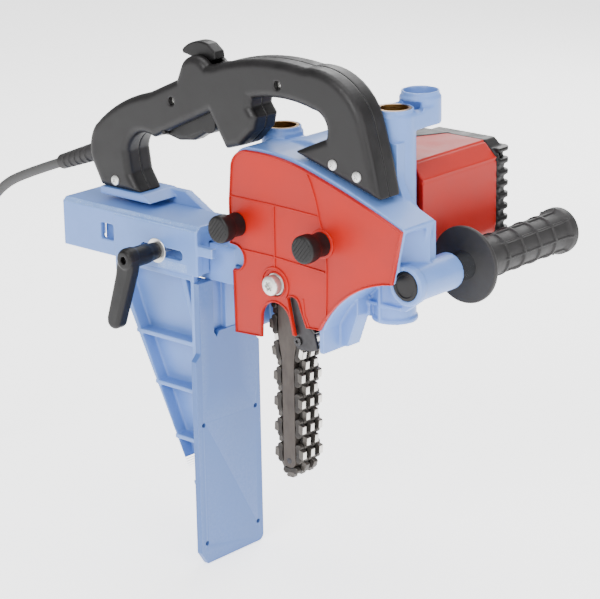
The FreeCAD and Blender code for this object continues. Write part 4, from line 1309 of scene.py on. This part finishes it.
    def bolt(self) -> Shape:
        """Pan-headed bolt with a star-shaped recess.

        Returns:
            The shape.
        """
        head = Shape().lathe([(0, 0), (6.2, 0), (8.0, 0.9), (8.7, 2.4), (8.7, 7.4), (8.3, 8.0), (0, 8.0)],
                             (0, -18, BOLT_Z), ALONG_Y, 48)
        wide, narrow = circle(0, BOLT_Z, 4.6, 24), circle(0, BOLT_Z, 3.5, 24)
        star = [wide[i] if i % 4 in (0, 1) else narrow[i] for i in range(24)]
        head.cut(Shape().prism(star, -20, -14.2))
        return head.lathe(rod(4.9, 50), (0, -10.5, BOLT_Z), ALONG_Y, 32)

    def deflector(self) -> Shape:
        """The chip deflector: a plate with an eye, and a lip bent back beside the chain.

        Returns:
            The shape.
        """
        x, z = self.pivot
        plate = outline([(14.5, 149.5), ((17.5, 154.8), (23, 152.5)), (26.5, 148), (33.5, 131), (40, 125),
                         (43.5, 112), (37.5, 109.2), (27, 108.5), ((22, 108.8), (17.8, 113)), (19.5, 121),
                         (17.2, 137)])
        shape = Shape().prism(plate, -6.8, -3.4, Plane.XZ, 0.9)
        shape.cut(Shape().lathe(rod(2.6, 9), (x, -10, z), ALONG_Y, 24))
        lip = outline([(31.5, 137.5), (33.5, 131), (40, 125), (41.5, 126.5), (35, 132.5), (33, 138.5)])
        return shape.prism(lip, -6.6, 18, Plane.XZ, 0.5, 2)

    def deflector_pin(self) -> Shape:
        """The deflector's screw with its hexagon socket.

        Returns:
            The shape.
        """
        x, z = self.pivot
        pin = Shape().lathe([(0, 0), (3.2, 0), (3.7, 0.5), (3.7, 1.5), (3.3, 1.9), (0, 1.9)], (x, -8.9, z),
                            ALONG_Y, 28)
        pin.cut(Shape().prism(circle(x, z, 1.7, 6), -9.5, -7.9))
        return pin.lathe(rod(2.45, 35.5), (x, -7.1, z), ALONG_Y, 24)

    def build(self) -> None:
        """Makes the chain, the bar and what holds them."""
        Piece("chain_links", MACHINE, ("chain",), "chain_steel", CHAIN_STEEL, crease=30, second=GROUND_STEEL,
              second_where=self.is_land, weighted=False).build(self.chain())
        rivet = Shape().lathe([(0, 0), (2.2, 0), (3.0, 0.5), (3.0, 24.8), (2.4, 25.2), (0, 25.2)],
                              (self.axis, 1.7, 0), ALONG_Y, 32)
        washer = Shape().lathe([(5.1, 0), (9.3, 0), (9.6, 0.4), (9.6, 11.6), (9.3, 12), (5.1, 12)],
                               (0, -10, BOLT_Z), ALONG_Y, 40)
        for name, body, node, slot, finish, shape in (
                ("guide_bar_blade", MACHINE, "guide_bar", "hardened_steel", BAR_STEEL, self.bar()),
                ("bar_bolt_head_and_shank", MACHINE, "bar_bolt", ZINC_SLOT, ZINC, self.bolt()),
                ("nose_pin_rivet", MACHINE, "nose_pin", "hardened_steel", DARK_STEEL, rivet),
                ("bar_washer_ring", MACHINE, "bar_washer", ZINC_SLOT, ZINC, washer),
                ("chip_deflector_plate", "chip_deflector", "chip_deflector", "chain_steel", DARK_STEEL,
                 self.deflector()),
                ("deflector_pin_screw", MACHINE, "deflector_pin", ZINC_SLOT, DARK_STEEL,
                 self.deflector_pin())):
            Piece(name, body, (node,), slot, finish).build(shape)


# ---------------------------------------------------------------- castings and fence

def cast(name: str, facet: float = 1.0, smooth: int = 3, extras: Optional[Shape] = None,
         hollows: Sequence[Shape] = ()) -> Shape:
    """A CAD node's form as it comes out of a mould: all corners eased.

    Args:
        name: The CAD node.
        facet: Size of the skin's facets in millimetres.
        smooth: How often the skin is relaxed.
        extras: Further solids that belong to it.
        hollows: Solids taken out of it.

    Returns:
        The shape.
    """
    shape = Shape().copy_node(name)
    for hollow in hollows:
        shape.cut(hollow)
    if extras:
        shape.merge(extras.mesh)
    return shape.clay(facet, smooth)


def nested(points: Sequence[Point2], low: float, high: float, radius: float, count: int = 5) -> Shape:
    """A stack of slabs whose steps follow a rounded edge, as an envelope for moulded grips.

    Args:
        points: The outline.
        low: Where the stack starts along y.
        high: Where it ends.
        radius: Radius of the rounded edge.
        count: Steps in that radius.

    Returns:
        The shape.
    """
    shape = Shape()
    for i in range(count + 1):
        angle = math.pi / 2 * i / count
        inset = radius * (1 - math.cos(angle)) - 0.3
        depth = radius * (1 - math.sin(angle))
        shape.prism(Cover.inset(points, inset), low + depth - 0.02, high - depth + 0.02)
    return shape


@dataclass
class Casting:
    """The blue main casting, its rear plate and the support arm."""

    # x, y, top and radius of the two guide columns and the rod socket.
    tops: tuple[tuple[float, ...], ...] = ((-39, 46, 283, 18), (84, 46, 315, 18), (84, 80, 324, 17.5))
    boss: Point3 = (132.0, 0.0, 183.0)

    def extras(self) -> Shape:
        """Beads, ribs and lips that stand on the casting.

        Returns:
            The shape.
        """
        shape = Shape()
        # Floor of the side pocket, slanting from its front edge back to its rear edge.
        floor = [(108, -6.5), (114, -6.5), (136.5, 28.5), (128, 28.5), (112, 6)]
        shape.prism(floor, 196, 231, Plane.XY)
        shape.box((110, -6.8, 196), (131, -3.4, 231))
        # Skirt under the cover's right side, with its step.
        shape.prism(outline([(44, 131.5), ((55, 142), (66.4, 158)), (70.3, 157), (70.3, 142.5), (59, 112.7),
                             (44, 110.5)]), 14, 30)
        # Foot flange of the right column and the two ribs above it.
        flange = [(15, 135), (19.2, 135), (19.6, 135.6), (19.6, 138.4), (19.2, 139), (15, 139)]
        shape.lathe(flange, (84, 46, 0), ALONG_Z, 64)
        shape.box((82.4, 24.5, 136), (85.6, 34, 176))
        shape.box((62, 26.5, 150), (106, 33, 153))
        shape.box((60, 28, 139), (72, 33, 156))
        # Thickened mouth of the side-handle boss.
        mouth = [(12.6, 0.5), (16.2, 0.5), (16.9, 1.4), (16.9, 7.5), (15.8, 9.5), (12.6, 9.5)]
        return shape.lathe(mouth, self.boss, ALONG_Y, 56)

    def hollows(self) -> list[Shape]:
        """The side pocket, the stepped column mouths and the shortened boss end.

        Returns:
            Solids to take out.
        """
        pocket = Shape().prism([(-3.2, 199.5), (23.5, 199.5), (23.5, 227.5), (-3.2, 228.5)], 116, 150,
                               Plane.YZ)
        steps = Shape()
        for x, y, top, radius in self.tops:
            steps.lathe([(radius - 1.6, top - 4.5), (radius + 6, top - 4.5), (radius + 6, top + 2),
                         (radius - 1.6, top + 2)], (x, y, 0), ALONG_Z, 64)
        steps.lathe([(12.56, 58), (22, 58), (22, 70), (12.56, 70)], self.boss, ALONG_Y, 64)
        return [pocket, steps]

    @staticmethod
    def is_rubbed_painted_highlight(face: bmesh.types.BMFace) -> bool:
        """Whether a face is the worn top of the arm's lug, which gets the lighter speckled coat: wear with
        painted glints.

        Args:
            face: The face.

        Returns:
            The answer.
        """
        centre = face.calc_center_median()
        return centre.x > -66 and centre.z > 180 and face.normal.z > 0.6

    def build(self) -> None:
        """Makes the casting, its rear plate and the support arm."""
        skin("main_casting_skin", MACHINE, "main_casting", CASTING_SLOT, BLUE_COAT,
             cast("main_casting", 1.0, 3, self.extras(), self.hollows()))
        skin("gearcase_plate_skin", MACHINE, "gearcase_plate", CASTING_SLOT, BLUE_COAT,
             cast("gearcase_plate", 1.2, 2))
        # Gusset under the arm.
        gusset = Shape().prism([(-150, 183), (-142, 183), (-180, 204), (-190, 204)], 26, 35)
        # The lug's top, facing up, gets the lighter coat with near-white specks: wear and painted glints.
        skin("support_arm_skin", MACHINE, "support_arm", CASTING_SLOT, BLUE_COAT,
             cast("support_arm", 0.9, 2, gusset), BLUE_SPECKLED, self.is_rubbed_painted_highlight)


@dataclass
class Fence:
    """Carriage, ribbed bracket, guide plate and clamp lever."""

    front: float = -20.0
    face: float = -80.0
    wall: float = 6.0
    clamp: Point2 = (-129.0, 170.5)

    def carriage(self) -> None:
        """The sliding carriage; its upper front edge is worn and carries a painted highlight."""
        front = self.front
        # The right part of the front stands a little proud; its slot stays open.
        extras = Shape().prism([(-181, 155), (-81, 155), (-81, 194.5), (-181, 194.5)], front - 0.9, front + 1)
        extras.cut(Shape().prism(outline([
            (-144.5, 166), (-102, 166), ((-97.5, 170.5), (-102, 175)), (-144.5, 175),
            ((-149, 170.5), (-144.5, 166))]), front - 5, front + 5))
        # Floor of the square window, and the closed right end.
        extras.box((-204, -9.5, 162), (-178, -7.5, 192))
        extras.box((-86, front + 3, 156), (-80.3, -4.8, 194))
        extras.box((-86, -6, 184), (-80.3, 27, 195))

        def rubbed_painted_highlight(face: bmesh.types.BMFace) -> bool:
            """Whether a face is the upper front edge, worn and given a painted highlight, or the patch under
            the slot.
            """
            centre = face.calc_center_median()
            edge = face.normal.z > 0.3 and face.normal.y < -0.3 and centre.z > 190
            patch = face.normal.y < -0.9 and 156.5 < centre.z < 163.5 and -128 < centre.x < -92
            return edge or patch

        # The upper front edge and the patch under the slot get the lighter speckled coat: wear, painted
        # highlight and painted glints.
        skin("fence_carriage_skin", "fence", "fence_carriage", CASTING_SLOT, BLUE_COAT,
             cast("fence_carriage", 0.8, 1, extras), BLUE_SPECKLED, rubbed_painted_highlight)

    def bracket(self) -> None:
        """The ribbed bracket; its inner flange runs on behind the guide plate's neck."""
        flange = Shape().box((-86, 14, 88), (-81, 46, 147))
        skin("fence_bracket_skin", "fence", "fence_bracket", CASTING_SLOT, BLUE_COAT,
             cast("fence_bracket", 0.9, 2, flange))

    def plate(self) -> None:
        """The flat guide plate with four holes and a notch in its upper edge."""
        first, last = -26.0, 55.0
        neck = 148.5
        edge = outline([(first, -101), (first + 8, -113), (last - 6, -113),
                        ((last - 1.8, -111.2), (last, -107)), (last, 80), (last - 20, 101), (4, 101), (1, 96),
                        (-2, 101), (-2, neck), (self.front, neck), (self.front, 85), (first, 79)])
        shape = Shape().prism(edge, self.face - self.wall, self.face, Plane.YZ, 0.7, 2)
        for y in (-18.75, 47.75):
            for z in (-93.0, 19.0):
                shape.cut(Shape().prism(circle(y, z, 2.2, 20), self.face - 9, self.face + 3, Plane.YZ))
        Piece("fence_plate_sheet", "fence", ("fence_plate",), CASTING_SLOT, PLATE_COAT).build(shape)

    def lever(self) -> None:
        """The indexing clamp lever: capped hub, flat tapering arm, washer."""
        x, z = self.clamp
        hub = Shape().lathe([(0, 0), (6.8, 0), (8.3, 0.8), (8.9, 2.2), (8.9, 27), (8.1, 31), (7.4, 39.6),
                             (0, 39.6)], (x, self.front - 41.3, z), ALONG_Y, 48)
        arm = outline([(x - 9.6, z + 1), ((x + 1, z + 9.5), (x + 8.8, z)), (x + 6, z - 12), (x - 11, z - 60),
                       ((x - 17.5, z - 66), (x - 25.5, z - 61)), (x - 25.5, z - 56), (x - 13, z - 16)])
        hub.merge(nested(arm, self.front - 40, self.front - 27, 3.2, 4).mesh)
        hub.cut(Shape().prism(circle(x, z, 3.7, 6, 0.3), self.front - 45, self.front - 35.5))
        skin("clamp_lever_moulding", "clamp_lever", "clamp_lever", PLASTIC_SLOT, BLACK_MOULDED,
             hub.clay(0.6, 2))
        steel = Shape().lathe([(4.0, 0), (10.6, 0), (11.0, 0.3), (11.0, 0.9), (10.6, 1.2), (4.0, 1.2)],
                              (x, self.front - 1.5, z), ALONG_Y, 48)
        steel.lathe([(0, 0), (4.0, 0), (4.0, 36), (3.4, 37), (0, 37)], (x, self.front - 4, z), ALONG_Y, 32)
        Piece("clamp_stud_and_washer", "clamp_lever", (), ZINC_SLOT, ZINC).build(steel)

    def build(self) -> None:
        """Makes the fence."""
        self.carriage()
        self.bracket()
        self.plate()
        self.lever()


# ---------------------------------------------------------------- handle

@dataclass
class Handle:
    """The bow handle with its trigger, lock lever and screws."""

    front: float = -5.0
    back: float = 27.4
    rounding: float = 6.5
    feet: tuple[Point2, ...] = ((61.5, 273.5), (87.0, 267.5), (-193.7, 219.6))
    deep: tuple[Point2, ...] = ((-121.0, 301.0), (2.0, 331.0))

    def side(self) -> list[Point2]:
        """The handle's side view, as x and z.

        Returns:
            The points.
        """
        return outline([
            (-214, 211.8), (-224.5, 231), ((-227, 250), (-220, 266)), ((-196, 285), (-151, 304)),
            (-116, 320), (-110, 334), ((-97, 343), (-80, 337)), (-72, 338), ((-20, 349.5), (30, 348.5)),
            ((75, 336), (94, 306)), (101.5, 280), (108.5, 250.5), (17.5, 277.5), (52, 293),
            ((50, 309), (38, 315)), ((0, 319.5), (-29, 315.5)), (-30, 308), (-24, 300), (-27.5, 288),
            (-43, 273), (-59.6, 268), (-78, 297), (-146, 265), ((-171, 262), (-179, 248)), (-176, 228),
            (-165.5, 211.8)])

    def shells(self) -> None:
        """Both half shells, rounded all along."""
        for name in ("front", "rear"):
            shape = Shape().copy_node(f"handle_shell_{name}")
            shape.combined(nested(self.side(), self.front, self.back, self.rounding, 7), "INTERSECT")
            skin(f"handle_shell_{name}_moulding", MACHINE, f"handle_shell_{name}", PLASTIC_SLOT, BLACK_NYLON,
                 shape.clay(0.9, 3))

    def screws(self) -> None:
        """Pan heads with a cross recess on the feet, sunk ones in the bow."""
        thin, wide = 0.45, 2.2
        cross = [(thin, thin), (thin, wide), (-thin, wide), (-thin, thin), (-wide, thin), (-wide, -thin),
                 (-thin, -thin), (-thin, -wide), (thin, -wide), (thin, -thin), (wide, -thin), (wide, thin)]
        turn = math.sqrt(0.5)
        for node, places, start, radius in (("handle_foot_screws", self.feet, self.front - 1.6, 4.6),
                                            ("handle_shell_screws", self.deep, self.front + 4, 3.4)):
            profile = [(0, 0), (radius * 0.6, 0), (radius * 0.92, 0.6), (radius, 1.4), (radius, 2.0),
                       (2.0, 2.0), (2.0, 27.0), (0, 28.0)]
            shape = Shape()
            for x, z in places:
                head = Shape().lathe(profile, (x, start, z), ALONG_Y, 32)
                turned = [(x + (u - v) * turn, z + (u + v) * turn) for u, v in cross]
                head.cut(Shape().prism(turned, start - 1, start + 1.1))
                shape.merge(head.mesh)
            Piece(f"{node}_set", MACHINE, (node,), ZINC_SLOT, ZINC).build(shape)

    def controls(self) -> None:
        """Trigger, with the belly under it, and lock lever."""
        belly = [(-138, 268), (-137, 275), (-100, 290), (-82, 284), (-88, 277), (-104, 267.5), (-122, 265)]
        trigger = Shape().copy_node("trigger").merge(nested(belly, 3.6, 19.4, 3.0, 4).mesh)
        lock = Shape().copy_node("lock_lever")
        for node, shape, smooth in (("trigger", trigger, 4), ("lock_lever", lock, 9)):
            skin(f"{node}_moulding", node, node, PLASTIC_SLOT, BLACK_MOULDED, shape.clay(0.6, smooth))

    def build(self) -> None:
        """Makes the handle."""
        self.shells()
        self.screws()
        self.controls()


# ---------------------------------------------------------------- motor and side handle

@dataclass
class Motor:
    """Red motor housing and the finned black cap behind it."""

    x: float = 56.0
    z: float = 221.35
    back: float = 166.0
    half: float = 42.0
    fin_pitch: float = 10.2

    def housing(self) -> None:
        """The housing with a groove and a seam along its outer side."""
        x, z = self.x, self.z
        hollows = [Shape().prism([(x + u, z + v) for u, v in corners], 60, 170) for corners in (
            ((40.6, 27.5), (44, 27.5), (44, 29), (40.6, 29)), ((27, 42.4), (28.4, 41), (32, 45), (30, 46)))]
        skin("motor_housing_moulding", MACHINE, "motor_housing", "red_plastic", RED_ABS,
             cast("motor_housing", 1.0, 3, hollows=hollows))

    def cap(self) -> None:
        """The finned cap, rounded all the way down its outer edge."""
        x, z, back, half = self.x, self.z, self.back, self.half
        blank = Shape().copy_node("fan_cap")
        # Strip that runs forward from the cap along the far edge of the motor's top.
        blank.prism([(x - half + 4, 90), (x - half + 13, 90), (x - half + 18, 140), (x - half + 32, back + 2),
                     (x - half + 4, back + 2)], z + 40, z + 44.5, Plane.XY)
        # Floors of the grooves between the fins.
        blank.box((x + 34.5, back + 1, z - 40), (x + 41.4, back + 12.5, z + 27))
        blank.box((x - 40, back + 11, z - 38), (x + 38, back + 15.6, z + 34))
        for i in range(8):
            height = z - 36 + self.fin_pitch * i
            blank.box((x + 37, back + 1.5, height - 2), (x + 43.8, back + 17.5, height + 2))
            blank.box((x - 43.4, back + 3, height - 2), (x - 37, back + 19, height + 2))
        first = (x + 32.5, back + 22)
        corner = [first, *arc(first, (x + 41.5, back + 17.5), (x + 44.2, back + 8), 8), (x + 60, back + 8),
                  (x + 60, back + 30), (x + 32.5, back + 30)]
        blank.clay(0.9, 0).cut(Shape().prism(corner, z - 60, z + 60, Plane.XY))
        skin("fan_cap_moulding", MACHINE, "fan_cap", PLASTIC_SLOT, BLACK_MOULDED, blank.clay(0.9, 2))

    def build(self) -> None:
        """Makes the housing and the cap."""
        self.housing()
        self.cap()


@dataclass
class SideHandle:
    """Chromed tube with a flanged and ribbed rubber grip."""

    x: float = 132.0
    z: float = 183.0
    start: float = 77.0
    end: float = 214.0
    rows: tuple[float, ...] = (40.0, 62.0, 84.0, 106.0)

    def grip(self) -> Shape:
        """The rubber grip: flange, raised grid of rings and ribs, end bead.

        Returns:
            The shape.
        """
        length = self.end - self.start
        profile = [(12.52, 0), (31.5, 0), (32.6, 0.6), (33, 2), (32.8, 3.6), (31.5, 5), (26, 6.6), (22, 8),
                   (19, 10.5), (17.6, 13.5), (17.3, 24), (17.5, 34)]
        for row in self.rows:
            profile += [(17.1, row - 1.8), (18.5, row - 0.9), (18.5, row + 0.9), (17.1, row + 1.8)]
            if row != self.rows[-1]:
                profile += [(17.1, row + 7), (17.1, row + 11), (17.1, row + 15)]
        profile += [(17.4, length - 14), (20.0, length - 10), (20.5, length - 8.6), (20.5, length - 3.4),
                    (20.0, length - 1.2), (18, length), (8, length), (0, length), (0, length - 3),
                    (12.52, length - 3)]

        def ribs(i: int, along: float) -> float:
            """Eight ribs along the grip, which stop at the rings."""
            inside = self.rows[0] - 4 < along < self.rows[-1] + 22
            clear = min(abs(along - row) for row in self.rows) > 1.2
            return 1.3 if inside and clear and i % 16 < 2 else 0.0

        return Shape().lathe(profile, (self.x, self.start, self.z), ALONG_Y, 128, ribs)

    def build(self) -> None:
        """Makes the tube, its front plug and the grip."""
        tube = Shape().lathe([(10.5, 0), (12.2, 0), (12.5, 0.4), (12.5, 205.6), (12.2, 206), (10.5, 206)],
                             (self.x, 3, self.z), ALONG_Y, 64)
        Piece("side_handle_tube_chromed", MACHINE, ("side_handle_tube",), "chromed_steel", CHROME).build(tube)
        plug = Shape().lathe([(0, 0.9), (9.2, 0.9), (9.8, 0), (11.6, 0), (12.4, 0.8), (12.5, 3), (10.5, 3),
                              (10.5, 16), (0, 16)], (self.x, 0, self.z), ALONG_Y, 48)
        Piece("tube_end_plug_cap", MACHINE, ("tube_end_plug",), PLASTIC_SLOT, BLACK_MOULDED).build(plug)
        Piece("side_grip_rubber", MACHINE, ("side_grip",), "rubber", GRIP_RUBBER,
              crease=40).build(self.grip())


# CAD nodes that keep their mesh, by the finish they get.
CARRIED = {
    BRONZE: ("guide_bush_left_lower", "guide_bush_left_upper", "guide_bush_right_lower",
             "guide_bush_right_upper"),
    GEAR_STEEL: ("drive_gear", "motor_pinion", "sprocket", "nose_roller", "output_shaft", "armature_shaft",
                 "output_bearing_front", "output_bearing_rear", "motor_bearing_front", "motor_bearing_rear"),
    ZINC: ("bar_spacer", "sprocket_nut"),
    CORE_STEEL: ("armature_core", "stator"),
    COPPER: ("commutator",),
    CARBON: ("carbon_brushes",),
    BLACK_MOULDED: ("cooling_fan", "brush_holders", "trigger_pin", "lock_pin"),
    CABINET_SWITCH: ("switch_module",),
}


def main() -> None:
    """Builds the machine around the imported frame."""
    logging.basicConfig(level=logging.INFO, format="%(message)s")
    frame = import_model()
    NODES.update(frame["nodes"])
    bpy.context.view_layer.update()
    Studio().build()
    for part in (Cord(), Cover(), ChainSet(), Casting(), Fence(), Handle(), Motor(), SideHandle()):
        part.build()
    for finish, names in CARRIED.items():
        dress(names, finish)


if __name__ == "__main__":
    main()
